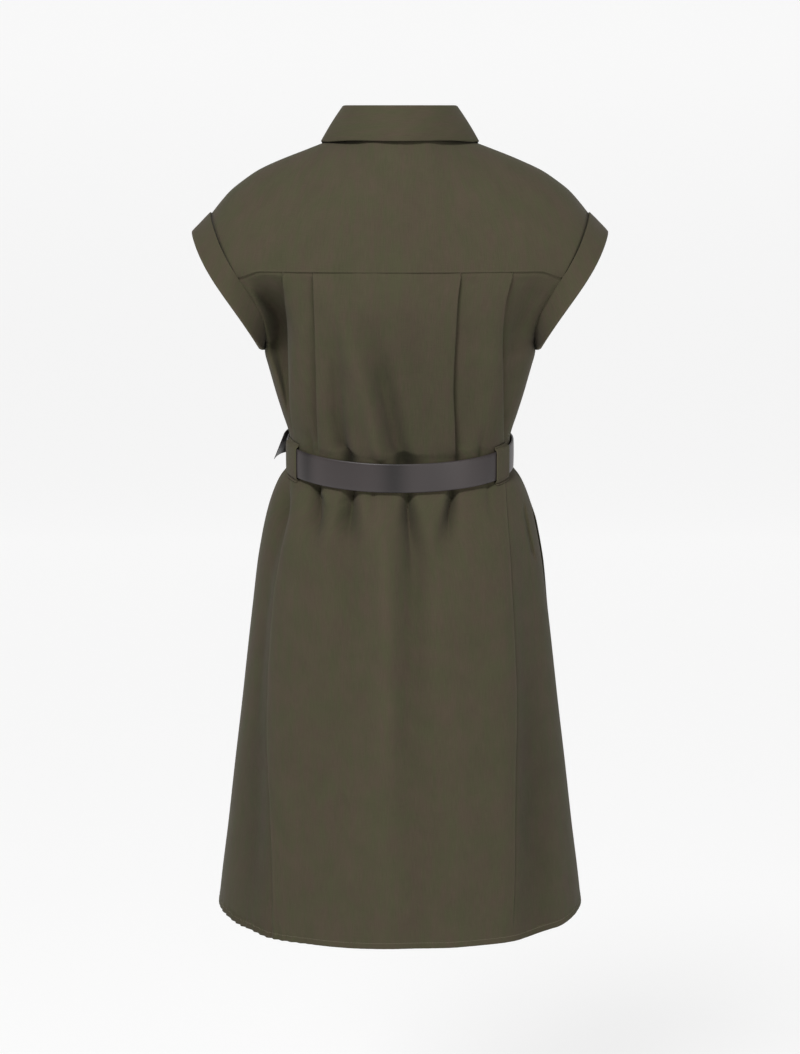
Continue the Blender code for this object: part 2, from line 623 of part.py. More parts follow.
def shoulder_normal(across, turn):
    """Outward normal of the shoulders at a distance from the middle and a signed turn."""
    step = 0.012
    along = shoulder_point(across, turn - step) - shoulder_point(across, turn + step)
    spread = shoulder_point(across + 1.0, turn) - shoulder_point(across - 1.0, turn)
    return unit(np.cross(along, spread))


def hem_cloth(height):
    """Wall thickness: the hem is turned up."""
    return HEM_CLOTH if height < HEM_HEIGHT + HEM_TURN + 1.0 else CLOTH


# ---------------------------------------------------------------- body panels
def panel_rows(side, heights, columns_at, rise_at):
    """Outer and inner skins of a panel below the arches.

    columns_at(height) gives the ring angles, and rise_at(across, height) the cloth's rise.
    """
    outer, inner = [], []
    for height in heights:
        outer_row, inner_row = [], []
        for angle in columns_at(height):
            base = ring_point(side, angle, height)
            normal = side_normal(side, angle, height)
            rise = rise_at(base[0], height)
            outer_row.append(base + normal * rise)
            inner_row.append(base + normal * (rise - hem_cloth(height)))
        outer.append(outer_row)
        inner.append(inner_row)
    return outer, inner


def spaced(knots, counts):
    """Values between knots, with a count of equal steps between each pair."""
    values = [knots[0]]
    for low, high, count in zip(knots, knots[1:], counts):
        values.extend(low + (high - low) * (step + 1) / count for step in range(count))
    return values


def seam_angle(height):
    """Half a seam's gap at the side, as an angle on the ring."""
    half_width, _, _ = ring_sizes(BACK, height)
    return SEAM / 2.0 / half_width


def edge_angle(side, height):
    """Angle of a panel's outer edge: the sleeve opening, or the side seam below it."""
    _, _, edge = ring_sizes(side, height)
    return edge - seam_angle(height)


def back_columns(height):
    """Ring angles of the back's columns, which follow its fold lines."""
    edge = edge_angle(BACK, height)
    knots = [-edge]
    for name, line in BACK_LINES.items():
        across = table(line, 1, height)
        if name in BACK_PLEATS:
            knots.append(ring_angle(BACK, across - PLEAT_EDGE, height))
            knots.append(ring_angle(BACK, across + PLEAT_EDGE, height))
        else:
            knots.append(ring_angle(BACK, across, height))
    knots.append(edge)
    return spaced(knots, (5, 1, 4, 1, 7, 4, 3, 1, 3, 1, 5))


def panel_heights(level):
    """Heights of a panel's rows from its level at the foot of the arches to the hem."""
    return [height for height in (*BODICE_HEIGHTS, BELT_CENTRE, *SKIRT_HEIGHTS) if height < level - 3.0]


def seam_dip(across):
    """The yoke seam drops at both ends, where it meets the sleeve openings."""
    return -SEAM_DIP * float(smooth_step(abs(across), *SEAM_DIP_REACH))


def yoke_seam():
    """Distances from the middle of the points along the yoke seam, shared by the back and the yoke."""
    level = YOKE_LEVEL - 1.0
    places = []
    for index, angle in enumerate(back_columns(level)):
        height = level + seam_dip(ring_point(BACK, angle, level)[0])
        places.append(ring_point(BACK, back_columns(height)[index], height)[0])
    return places


def build_back():
    """The back, in one length from the yoke seam to the hem."""
    heights = panel_heights(YOKE_LEVEL)
    outer, inner = panel_rows(BACK, heights, back_columns, lambda x, z: cloth_rise(BACK, x, z))
    top_outer, top_inner = [], []
    for across in yoke_seam():
        height = YOKE_LEVEL - SEAM + seam_dip(across)
        place = ring_angle(BACK, across, height)
        base = ring_point(BACK, place, height)
        normal = side_normal(BACK, place, height)
        rise = cloth_rise(BACK, across, height)
        top_outer.append(base + normal * rise)
        top_inner.append(base + normal * (rise - CLOTH))
    wall("back", facing([top_outer, *outer], BACK), facing([top_inner, *inner], BACK))


def facing(rows, side):
    """Rows of points ordered to the right as seen from outside, given from -X to +X."""
    return [list(reversed(row)) for row in rows] if side == BACK else rows


def front_top(share):
    """A front's upper edge: along the shoulder seam, then down the neckline to the closure.

    share runs from the sleeve opening (0) to the closure (1). It gives across and turn.
    """
    corner_angle = math.pi / 2 + math.asin(-FRONT_SEAM_Y / NECK_FRONT)
    corner_share = SHOULDER_COLUMNS / (SHOULDER_COLUMNS + NECK_COLUMNS)
    if share <= corner_share:
        turn = -arch_turn(FRONT, SLEEVE_TOP, FRONT_SEAM_Y)
        outer_end = edge_across(turn)
        corner = NECK_HALF_WIDTH * math.sin(corner_angle)
        across = outer_end + (corner - outer_end) * share / corner_share
        return across, arch_turn(FRONT, across, FRONT_SEAM_Y - 2.0 * SEAM)
    last = math.pi - math.asin(CLOSURE_START / NECK_HALF_WIDTH)
    angle = corner_angle + (last - corner_angle) * (share - corner_share) / (1.0 - corner_share)
    across, turn = neck_place(angle)
    return across, abs(turn)


def build_front(name, hand, closure, rise_at):
    """A front from the shoulder to the hem.

    closure lists the distances from the middle of its last columns, towards its inner edge.
    """
    count = SHOULDER_COLUMNS + NECK_COLUMNS
    shares = [step / count for step in range(count + 1)]

    def columns_at(height):
        edge = edge_angle(FRONT, height)
        last = ring_angle(FRONT, CLOSURE_START, height)
        angles = [hand * (edge + (last - edge) * share) for share in shares]
        return angles + [hand * ring_angle(FRONT, across, height) for across in closure]

    outer, inner = panel_rows(FRONT, panel_heights(CHEST_LEVEL), columns_at, rise_at)
    tops = [front_top(share) for share in shares]
    for across in closure:
        angle = math.pi - math.asin(across / NECK_HALF_WIDTH)
        tops.append((across, abs(neck_place(angle)[1])))
    feet = [hand * ring_point(FRONT, angle, CHEST_LEVEL)[0] for angle in columns_at(CHEST_LEVEL)]
    edge_top, edge_foot, edge_turn = tops[0][0], feet[0], tops[0][1]
    upper_outer, upper_inner = [], []
    for step in range(FRONT_ROWS):
        part = step / FRONT_ROWS
        opening = edge_across(-(edge_turn + (math.pi / 2 - edge_turn) * part)) - SEAM / 2.0
        drift = opening - (edge_top + (edge_foot - edge_top) * part)
        outer_row, inner_row = [], []
        for column, ((top_across, top_turn), foot) in enumerate(zip(tops, feet)):
            turn = top_turn + (math.pi / 2 - top_turn) * part
            across = top_across + (foot - top_across) * part
            across = hand * (across + drift * max(1.0 - column / count, 0.0) ** 4)
            base = arch_point(FRONT, across, turn)
            normal = shoulder_normal(across, -turn)
            rise = rise_at(across, base[2])
            outer_row.append(base + normal * rise)
            inner_row.append(base + normal * (rise - CLOTH))
        upper_outer.append(outer_row)
        upper_inner.append(inner_row)
    outer, inner = upper_outer + outer, upper_inner + inner
    if hand > 0:
        outer, inner = facing(outer, BACK), facing(inner, BACK)
    wall(name, outer, inner)


def build_yoke():
    """The yoke: from the back seam over the shoulders to the front seams, around the neck."""
    corner_angle = math.pi / 2 + math.asin(-FRONT_SEAM_Y / NECK_FRONT)
    top_turn = -arch_turn(FRONT, SLEEVE_TOP, FRONT_SEAM_Y)
    places = yoke_seam()
    edge_width = max(places)
    outer, inner = [], []
    for step in range(YOKE_ROWS + 1):
        part = step / YOKE_ROWS
        outer_row, inner_row = [], []
        for place in places:
            share, hand = abs(place) / edge_width, math.copysign(1.0, place)
            if share <= NECK_SHARE:
                end_across, end_turn = neck_place(corner_angle * share / NECK_SHARE)
            else:
                corner = NECK_HALF_WIDTH * math.sin(corner_angle)
                reach = (share - NECK_SHARE) / (1.0 - NECK_SHARE)
                end_across = corner + (edge_across(top_turn) - corner) * reach
                end_turn = -arch_turn(FRONT, end_across, FRONT_SEAM_Y)
            foot = edge_width * share
            foot_turn = math.pi / 2 - seam_dip(foot) / ARCH_FOOT
            turn = foot_turn + (end_turn - foot_turn) * part
            across = foot + (end_across - foot) * part
            edge_turn = foot_turn + (top_turn - foot_turn) * part
            plain_edge = edge_width + (edge_across(top_turn) - edge_width) * part
            drift = edge_across(edge_turn) - SEAM / 2.0 - plain_edge
            across += drift * share**5
            base = shoulder_point(hand * across, turn)
            normal = shoulder_normal(hand * across, turn)
            outer_row.append(base)
            inner_row.append(base - normal * CLOTH)
        outer.append(outer_row)
        inner.append(inner_row)
    outer.reverse()
    inner.reverse()
    wall("yoke", facing(outer, BACK), facing(inner, BACK))


# ---------------------------------------------------------------- sleeve cuffs
def opening_point(lap):
    """The sleeve opening on the wearer's left: lap 0 is the shoulder, 0.5 the underarm, back first."""
    side = BACK if lap <= 0.5 else FRONT
    share = lap * 2.0 if lap <= 0.5 else (1.0 - lap) * 2.0
    level = YOKE_LEVEL if side == BACK else CHEST_LEVEL
    if share <= 0.5:
        turn = side * math.pi * share
        return shoulder_point(edge_across(turn), turn)
    height = level + (UNDERARM - level) * math.sin(math.pi * (share - 0.5))
    _, _, edge = ring_sizes(side, height)
    return ring_point(side, edge, height)


def cuff_edge_point(lap):
    """The cuff's outer edge, on its flat loop."""
    angle = 2.0 * math.pi * lap
    top, bottom = np.array(CUFF_TOP), np.array(CUFF_BOTTOM)
    middle, half = (top + bottom) / 2.0, (top - bottom) / 2.0
    across, height = middle + half * math.cos(angle)
    return np.array((across, CUFF_HALF_DEPTH * math.sin(angle), height))


def build_cuff(name, hand):
    """A turned-up cuff: a band around the sleeve opening that stands proud of the sleeve."""
    proud = CUFF_CLOTH - CLOTH
    rows = []
    for width in CUFF_WIDTHS:
        row = []
        for column in range(CUFF_COLUMNS):
            lap = column / CUFF_COLUMNS
            start, end = opening_point(lap), cuff_edge_point(lap)
            along = unit(end - start)
            start = start + along * CUFF_START
            row.append(start + (end - start) * width)
        rows.append(row)
    grid = np.array(rows)
    around = np.roll(grid, -1, axis=1) - np.roll(grid, 1, axis=1)
    normals = np.cross(np.gradient(grid, axis=0), around)
    normals /= np.linalg.norm(normals, axis=2)[:, :, None]
    outer, inner = [], []
    for index, width in enumerate(CUFF_WIDTHS):
        outer_row, inner_row = [], []
        for column in range(CUFF_COLUMNS):
            lap = column / CUFF_COLUMNS
            under = 1.0 - float(smooth_step(abs(lap - 0.5), *CUFF_UNDER))
            lift = proud * (1.0 - under * (1.0 - width))
            point, normal = grid[index][column], normals[index][column]
            outer_row.append(point + normal * lift)
            inner_row.append(point - normal * CLOTH)
        outer.append(outer_row)
        inner.append(inner_row)
    flip = np.array((hand, 1.0, 1.0))
    outer = [[point * flip for point in row] for row in outer]
    inner = [[point * flip for point in row] for row in inner]
    if hand < 0:
        outer, inner = facing(outer, BACK), facing(inner, BACK)
    wall(name, outer, inner, closed=True)


# ---------------------------------------------------------------- collar
def lap_shift(angle):
    """The collar stand's right end lies over its left end at the middle front."""
    turn = float(smooth_step(abs(angle), *STAND_LAP_REACH))
    return -STAND_LAP_SHIFT * math.copysign(turn, angle)


def collar_sizes(angle):
    """Outward direction in plan, neckline point and stand height at an angle round the neck."""
    base = neck_point(min(abs(angle), math.pi))
    if abs(angle) > math.pi:
        past = 2.0 * math.pi - abs(angle)
        base = neck_point(past) * np.array((-1.0, 1.0, 1.0))
    base = base * np.array((math.copysign(1.0, angle), 1.0, 1.0))
    outward = unit(np.array((
        math.sin(angle) / NECK_HALF_WIDTH,
        math.cos(angle) / (NECK_BACK if math.cos(angle) > 0.0 else NECK_FRONT),
        0.0,
    )))
    front = float(smooth_step(abs(angle), STAND_TAPER_START, math.pi))
    height = STAND_HEIGHT + (STAND_HEIGHT_FRONT - STAND_HEIGHT) * front
    return outward, base, height


def build_collar_stand():
    """The band around the neck that holds the collar up, lapped right over left."""
    limit = math.pi + STAND_LAP
    outer, inner = [], []
    for share in (0.0, 0.5, 1.0):
        outer_row, inner_row = [], []
        for column in range(COLLAR_COLUMNS + 1):
            angle = limit - 2.0 * limit * column / COLLAR_COLUMNS
            outward, base, height = collar_sizes(angle)
            middle = base + np.array((0.0, 0.0, STAND_LIFT + (height - STAND_LIFT) * share))
            middle = middle + outward * (lap_shift(angle) - STAND_INSET - STAND_LEAN * share)
            outer_row.append(middle + outward * COLLAR_CLOTH / 2.0)
            inner_row.append(middle - outward * COLLAR_CLOTH / 2.0)
        outer.append(outer_row)
        inner.append(inner_row)
    outer.reverse()
    inner.reverse()
    wall("collar_stand", outer, inner)


def collar_spread(angle):
    """The collar fall's free edge: where it lies over the yoke, the shoulder and the chest."""
    turn = abs(angle)
    hand = math.copysign(1.0, angle)
    if turn <= COLLAR_TURN:
        across = COLLAR_HALF_WIDTH * math.sin(turn)
        forth = COLLAR_BACK * math.cos(turn)
        side = BACK if forth >= 0.0 else FRONT
        surface = shoulder_point(across, math.copysign(arch_turn(side, across, forth), forth))
        behind, beside = COLLAR_LEVELS
        level = behind + (beside - behind) * float(smooth_step(turn, *COLLAR_LEVEL_REACH))
        point = np.array((across, forth, max(level, surface[2] + COLLAR_YOKE_LAY)))
    else:
        t = (turn - COLLAR_TURN) / (COLLAR_END - COLLAR_TURN)
        start = np.array((COLLAR_HALF_WIDTH * math.sin(COLLAR_TURN), COLLAR_BACK * math.cos(COLLAR_TURN)))
        bend, tip = np.array(COLLAR_BEND), np.array(COLLAR_POINT)
        across, forth = (1 - t) ** 2 * start + 2 * t * (1 - t) * bend + t**2 * tip
        place = arch_turn(FRONT, across, forth)
        lift = COLLAR_CHEST_LAY + COLLAR_POINT_LIFT * t
        point = shoulder_point(across, -place) + shoulder_normal(across, -place) * lift
    return point * np.array((hand, 1.0, 1.0))


def build_collar_fall():
    """The collar's turned-down part, from its fold on top of the stand to its two points."""
    up = np.array((0.0, 0.0, 1.0))
    outer, inner = [], []
    for column in range(COLLAR_COLUMNS + 1):
        angle = COLLAR_END - 2.0 * COLLAR_END * column / COLLAR_COLUMNS
        outward, base, height = collar_sizes(angle)
        crown = base + up * (height + SEAM) - outward * COLLAR_SET_IN
        outer_column = [crown + outward * out + up * rise for out, rise, _, _ in COLLAR_FOLD]
        inner_column = [crown + outward * out + up * rise for _, _, out, rise in COLLAR_FOLD]
        shoulder, edge = outer_column[-1], collar_spread(angle)
        lean = unit(edge - shoulder)
        across_lean = np.cross(np.array((math.cos(angle), -math.sin(angle), 0.0)), lean)
        normal = unit(across_lean * math.copysign(1.0, np.dot(across_lean, outward + up)))
        edge = edge + normal * COLLAR_CLOTH
        for drop in COLLAR_DROPS:
            swell = COLLAR_SWELL * math.sin(math.pi * drop)
            point = shoulder + (edge - shoulder) * drop + normal * swell
            outer_column.append(point)
            inner_column.append(point - normal * COLLAR_CLOTH)
        outer.append(outer_column)
        inner.append(inner_column)
    outer = [[column[row] for column in outer] for row in range(len(outer[0]))]
    inner = [[column[row] for column in inner] for row in range(len(inner[0]))]
    wall("collar_fall", outer, inner)


# ---------------------------------------------------------------- belt and its loops
def full_turn(angle):
    """Side and ring angle of an angle measured all the way round, 0 behind and +90 at +X."""
    angle = (angle + math.pi) % (2.0 * math.pi) - math.pi
    if abs(angle) <= math.pi / 2:
        return BACK, angle
    return FRONT, math.copysign(math.pi - abs(angle), angle)


def waist_point(angle, height, lift):
    """A point over the waist, lifted off the form, at a full angle."""
    side, place = full_turn(angle)
    base = ring_point(side, place, height)
    flat = ring_point(side, place, BELT_CENTRE)
    outward = np.array((flat[0] / WAIST_HALF_WIDTH**2, flat[1] / WAIST_DEPTH**2, 0.0))
    return base + unit(outward) * lift


def build_belt():
    """The belt: a band round the waist, lower behind than in front."""
    half = BELT_WIDTH / 2.0
    flat = half - BELT_BEVEL
    profile = ((half, BELT_BEVEL_DEPTH), (flat, 0.0), (-flat, 0.0), (-half, BELT_BEVEL_DEPTH))
    outer, inner = [], []
    for offset, ease in profile:
        outer_row, inner_row = [], []
        for column in range(BELT_COLUMNS):
            angle = -2.0 * math.pi * column / BELT_COLUMNS
            low = BELT_CENTRE + offset
            outer_row.append(waist_point(angle, low, BELT_CLEAR + BELT_THICK - ease))
            inner_row.append(waist_point(angle, low, BELT_CLEAR + ease))
        outer.append(outer_row)
        inner.append(inner_row)
    wall("belt", outer, inner, closed=True, colour=BELT_COLOUR, roughness=0.42)


def build_belt_tail():
    """The belt's free end: through the buckle to the wearer's left, its tip standing off the waist."""
    half = BELT_WIDTH / 2.0 - TAIL_INSET
    top_off, bottom_off = TAIL_STAND_OFF
    lay = BELT_CLEAR + BELT_THICK + TAIL_EASE
    outer, inner = [], []
    for offset in (half, -half):
        outer_row, inner_row = [], []
        for column in range(TAIL_COLUMNS + 1):
            share = column / TAIL_COLUMNS
            angle = TAIL_START + (TAIL_END - TAIL_START) * share
            free = float(smooth_step(share, *TAIL_FREE))
            lift = lay + free * (top_off if offset > 0.0 else bottom_off)
            height = BELT_CENTRE + offset + free * TAIL_RISE
            outer_row.append(waist_point(angle, height, lift + TAIL_THICK))
            inner_row.append(waist_point(angle, height, lift))
        outer.append(outer_row)
        inner.append(inner_row)
    wall("belt_tail", outer, inner, colour=BELT_COLOUR, roughness=0.42)


def add_block(name, group, centre, size):
    """A block of a size in millimetres, centred on a point."""
    mesh = bpy.data.meshes.new(name)
    block = bmesh.new()
    bmesh.ops.create_cube(block, size=1.0)
    bmesh.ops.scale(block, vec=[value * MM for value in size], verts=block.verts)
    block.to_mesh(mesh)
    block.free()
    mesh.materials.append(finish(name, METAL_COLOUR, 0.35, 1.0))
    thing = bpy.data.objects.new(name, mesh)
    group.objects.link(thing)
    thing.location = [float(value) * MM for value in centre]
    return thing


def round_edges(thing, width):
    """Rounded edges on a block."""
    bevel = thing.modifiers.new("rounded", "BEVEL")
    bevel.width = width * MM
    bevel.segments = 2
    bevel.limit_method = "ANGLE"


def build_buckle():
    """A plain rectangular frame over the belt's free end, with a prong across it."""
    lift = BELT_CLEAR + BELT_THICK + TAIL_EASE + TAIL_THICK - BUCKLE_BED
    back_face = waist_point(math.pi, BELT_CENTRE, lift)
    centre = back_face + np.array((0.0, -BUCKLE_THICK / 2.0, 0.0))
    size = np.array((BUCKLE_WIDTH, BUCKLE_THICK, BUCKLE_HEIGHT))
    frame = add_block("buckle_frame", PARTS, centre, size)
    window = np.array((BUCKLE_WIDTH - 2.0 * BUCKLE_BAR, 3.0 * BUCKLE_THICK, BUCKLE_HEIGHT - 2.0 * BUCKLE_BAR))
    cutter = add_block("buckle_window", CUTTERS, centre, window)
    cutter.hide_render = True
    cutter.display_type = "WIRE"
    opening = frame.modifiers.new("window", "BOOLEAN")
    opening.object = cutter
    opening.operation = "DIFFERENCE"
    opening.solver = "EXACT"
    round_edges(frame, BUCKLE_ROUND)
    lead = back_face + np.array((0.0, -BUCKLE_THICK - SEAM - PRONG_THICK / 2.0, 0.0))
    prong_size = (BUCKLE_WIDTH - BUCKLE_BAR / 2.0, PRONG_THICK, PRONG_WIDTH)
    prong = add_block("buckle_prong", PARTS, lead, prong_size)
    round_edges(prong, PRONG_ROUND)


def build_belt_loop(name, middle, spread):
    """A cloth loop sewn to the dress above and below the belt, which passes under it."""
    over = BELT_CLEAR + BELT_THICK + TAIL_EASE
    upper = [(BELT_WIDTH / 2.0 + past, sewn) for past, sewn in LOOP_STEPS]
    lower = [(-offset, sewn) for offset, sewn in reversed(upper)]
    outer, inner = [], []
    for offset, sewn in (*upper, (0.0, False), *lower):
        height = BELT_CENTRE + offset
        outer_row, inner_row = [], []
        for column in range(LOOP_COLUMNS + 1):
            place = middle - (column / LOOP_COLUMNS - 0.5) * spread
            gap = over
            if sewn:
                across = waist_point(place, height, 0.0)[0]
                rise = soft_rise(BACK, across, height) + pleat_rise(across, height)
                gap = max(rise, 0.0) + LOOP_LAY
            outer_row.append(waist_point(place, height, gap + LOOP_CLOTH))
            inner_row.append(waist_point(place, height, gap))
        outer.append(outer_row)
        inner.append(inner_row)
    wall(name, outer, inner)


# ---------------------------------------------------------------- front closure
def front_skin(across, height, rise):
    """A point and normal on the front at a distance from the middle, above or below the chest."""
    if height > CHEST_LEVEL:
        top = table(SHOULDER_ROWS, 1, abs(across))
        share = (height - CHEST_LEVEL) / (top - CHEST_LEVEL)
        turn = math.acos(min(max(share, 0.0), 1.0) ** (arch_power(FRONT, across) / 2.0))
        normal = shoulder_normal(across, -turn)
        return arch_point(FRONT, across, turn) + normal * rise, normal
    angle = ring_angle(FRONT, across, height)
    normal = form_normal(FRONT, angle, height)
    return ring_point(FRONT, angle, height) + normal * rise, normal


def build_placket():
    """The button band on the wearer's right front, lying over the left front."""
    neck = neck_point(math.pi)[2]
    upper = [neck - step for step in PLACKET_TOP_STEPS]
    heights = [*upper, *PLACKET_CHEST_ROWS, *panel_heights(CHEST_LEVEL + 4.0)]
    edges = (-PLACKET_HALF + SEAM, -PLACKET_HALF / 3.0, PLACKET_HALF / 3.0, PLACKET_HALF)
    outer, inner = [], []
    for height in heights:
        outer_row, inner_row = [], []
        for across in edges:
            rise = PLACKET_RISE + soft_rise(FRONT, across, height)
            outer_row.append(front_skin(across, height, rise)[0])
            inner_row.append(front_skin(across, height, rise - PLACKET_CLOTH)[0])
        outer.append(outer_row)
        inner.append(inner_row)
    wall("placket", outer, inner)


def button_mesh():
    """The profile that a flat round button is turned from, its underside at z = 0."""
    profile = (
        (0.0, BUTTON_THICK), (BUTTON_RADIUS - BUTTON_ROUND, BUTTON_THICK),
        (BUTTON_RADIUS, BUTTON_THICK - BUTTON_ROUND_DROP), (BUTTON_RADIUS - BUTTON_TAPER, 0.0),
        (0.0, 0.0),
    )
    mesh = bpy.data.meshes.new("button")
    points = [(radius * MM, 0.0, lift * MM) for radius, lift in profile]
    mesh.from_pydata(points, [(index, index + 1) for index in range(len(points) - 1)], [])
    mesh.materials.append(finish("button", BUTTON_COLOUR, 0.45))
    return mesh


def build_button(name, mesh, centre, normal):
    """A button on the cloth at a point, facing along a normal."""
    button = bpy.data.objects.new(name, mesh)
    PARTS.objects.link(button)
    button.location = [float(value) * MM for value in centre]
    button.rotation_euler = Vector([float(value) for value in normal]).to_track_quat("Z", "Y").to_euler()
    turned = button.modifiers.new("turned", "SCREW")
    turned.steps = BUTTON_STEPS
    turned.render_steps = BUTTON_STEPS
    turned.use_merge_vertices = True
    turned.merge_threshold = 0.00001
    turned.use_smooth_shade = True


def build_buttons():
    """Buttons down the placket and one on the collar stand."""
    mesh = button_mesh()
    for number, height in enumerate(BUTTON_HEIGHTS):
        rise = PLACKET_RISE + 1.5 * SEAM
        centre, normal = front_skin(0.0, height, rise)
        build_button(f"button_{number + 1}", mesh, centre, normal)
    outward, base, height = collar_sizes(-math.pi)
    centre = base + np.array((0.0, 0.0, height * 0.5)) + outward * 1.85
    build_button("button_collar", mesh, centre, outward)


# ---------------------------------------------------------------- pockets
def build_pocket(name, hand):
    """A pocket bag behind the side seam, lying inside the front."""
    round_start, round_height = POCKET_ROUND
    outer, inner = [], []
    for row in range(POCKET_GRID + 1):
        down = row / POCKET_GRID
        height = POCKET_BAG_TOP + (POCKET_BAG_BOTTOM - POCKET_BAG_TOP) * down
        low = max((down - round_start) / round_height, 0.0)
        full = POCKET_NECK + (1.0 - POCKET_NECK) * min(down / POCKET_NECK_END, 1.0)
        reach = POCKET_REACH * full * math.sqrt(max(1.0 - low**2, POCKET_FOOT))
        edge = ring_sizes(FRONT, height)[0]
        outer_row, inner_row = [], []
        for column in range(POCKET_GRID + 1):
            along = reach * column / POCKET_GRID
            angle = math.pi / 2 - (POCKET_INSET + along) / edge * POCKET_TURN
            base = ring_point(FRONT, hand * angle, height)
            normal = side_normal(FRONT, hand * angle, height)
            rise = cloth_rise(FRONT, base[0], height) - CLOTH - POCKET_CLEAR
            outer_row.append(base + normal * rise)
            inner_row.append(base + normal * (rise - POCKET_CLOTH))
        outer.append(outer_row)
        inner.append(inner_row)
    if hand < 0:
        wall(name, outer, inner)
    else:
        wall(name, facing(outer, BACK), facing(inner, BACK))


# ---------------------------------------------------------------- the dress
def main():
    """Build every piece of the dress."""
    build_back()
    build_yoke()
    build_front("front_left", 1, (PLACKET_HALF + 1.0, 2.0, -12.0), left_front_rise)
    build_front("front_right", -1, (PLACKET_HALF,), right_front_rise)
    build_placket()
    build_collar_stand()
    build_collar_fall()
    build_cuff("cuff_left", 1)
    build_cuff("cuff_right", -1)
    build_belt()
    build_belt_tail()
    build_buckle()
    for name, (middle, spread) in LOOP_PLACES.items():
        build_belt_loop(name, middle, spread)
    build_buttons()
    build_pocket("pocket_left", 1)
    build_pocket("pocket_right", -1)


for leftover in list(bpy.data.objects):
    bpy.data.objects.remove(leftover, do_unlink=True)
PARTS = collection(NAME)
CUTTERS = collection(f"{NAME}_cutters")
main()
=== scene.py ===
"""Shirt dress: cloth, belt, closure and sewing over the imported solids.

The dress faces -Y, its back is at +Y and the wearer's left is at +X. Shapes are worked out in
millimetres and turned into metres where a mesh is made.
"""

import logging
import math
from collections.abc import Callable, Sequence
from dataclasses import dataclass, field
from enum import Enum

import bpy
import numpy as np
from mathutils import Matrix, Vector


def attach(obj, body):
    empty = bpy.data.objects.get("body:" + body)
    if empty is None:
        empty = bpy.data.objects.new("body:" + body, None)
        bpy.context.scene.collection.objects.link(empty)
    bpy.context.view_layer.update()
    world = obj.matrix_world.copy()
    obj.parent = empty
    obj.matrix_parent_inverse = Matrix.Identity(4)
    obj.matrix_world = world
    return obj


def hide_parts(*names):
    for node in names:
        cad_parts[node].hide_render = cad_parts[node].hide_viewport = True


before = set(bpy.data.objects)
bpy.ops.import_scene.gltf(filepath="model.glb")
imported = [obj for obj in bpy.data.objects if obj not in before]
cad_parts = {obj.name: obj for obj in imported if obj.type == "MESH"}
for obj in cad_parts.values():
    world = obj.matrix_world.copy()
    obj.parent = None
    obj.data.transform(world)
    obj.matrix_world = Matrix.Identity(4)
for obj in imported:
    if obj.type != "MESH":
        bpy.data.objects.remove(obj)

LOG = logging.getLogger("dress")
MM = 0.001
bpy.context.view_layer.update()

Array = np.ndarray
Rows = Sequence[Sequence[float]]
Pair = tuple[float, float]
# two values between which something begins or ends
Ramp = Pair
Triple = tuple[float, float, float]
Colour = tuple[float, float, float, float]
Thing = bpy.types.Object
Material = bpy.types.Material
Socket = bpy.types.NodeSocket

UP = np.array((0.0, 0.0, 1.0))
TURN_STEP = 0.012
WAVE_COUNT = 6
WAVE_STRETCH = np.array((1.0, 1.0, 0.45))
WAVE_SIZES: Ramp = (0.7, 1.5)
WAVE_TURN = 6.28
WAVE_SCALE = 3.2
# heights between which the belt begins and ends to hold the cloth, at its lower and upper edge
BELT_RAMPS: tuple[Ramp, Ramp] = ((-398.0, -389.0), (-352.0, -343.0))
# how far the cloth's edge rolls in along a side seam
SIDE_ROLL = 0.25
# how a hem turns in and up: inset from the cloth's face, height over its edge
HEM_TURN: Rows = ((0.35, -0.5), (1.0, -0.75), (1.7, -0.4), (1.95, 0.8), (1.95, 4.0), (1.95, 9.0))


class Side(Enum):
    """Side of the body, with the sign of its depth along Y."""

    BACK = 1
    FRONT = -1


class Shape(Enum):
    """Cross section of a fold."""

    SOFT = "soft"
    SHARP = "sharp"
    FLAT = "flat"


class Slot(Enum):
    """Material slots named for the pieces; place_piece doesn't use them."""

    CLOTH = "dress_cloth"
    POCKET = "pocket_cloth"
    BELT = "belt_skin"
    BUTTON = "button"


# ---------------------------------------------------------------- tables of the form
# height, half width at the side seams, depth behind and before them
BODY_ROWS: Rows = (
    (-149.0, 193.0, 100.0, 99.0), (-180.0, 173.0, 102.0, 107.0), (-210.0, 160.0, 104.0, 112.0),
    (-240.0, 159.2, 105.0, 117.0), (-249.0, 160.3, 105.0, 118.5), (-254.0, 159.6, 105.0, 119.0),
    (-265.0, 156.6, 104.5, 119.5), (-280.0, 152.4, 104.0, 118.0), (-297.0, 147.6, 103.0, 115.0),
    (-321.0, 140.0, 100.0, 109.0), (-344.0, 132.5, 95.5, 100.0), (-352.0, 131.0, 92.5, 92.5),
    (-389.0, 131.0, 92.5, 92.5), (-396.0, 138.0, 97.5, 96.5), (-406.0, 145.5, 103.0, 101.0),
    (-430.0, 155.5, 112.0, 108.0), (-454.0, 162.0, 119.5, 113.0), (-479.0, 167.0, 125.5, 117.0),
    (-503.0, 171.0, 130.0, 120.5), (-552.0, 177.0, 136.5, 126.0), (-602.0, 183.0, 141.0, 130.0),
    (-677.0, 191.7, 146.5, 136.0), (-752.0, 201.0, 151.0, 141.0), (-828.0, 210.0, 155.0, 145.5),
    (-880.0, 216.7, 158.0, 148.5), (-937.0, 222.4, 160.5, 151.0),
)
# distance from the middle, height of the shoulder line
SHOULDER_ROWS: Rows = (
    (0.0, 34.0), (30.0, 25.0), (50.0, 10.0), (66.0, 2.0), (90.0, -6.5), (112.0, -15.0),
    (141.0, -26.5), (166.0, -38.0), (184.0, -50.0), (198.0, -61.0), (209.0, -73.0), (221.0, -88.0),
)
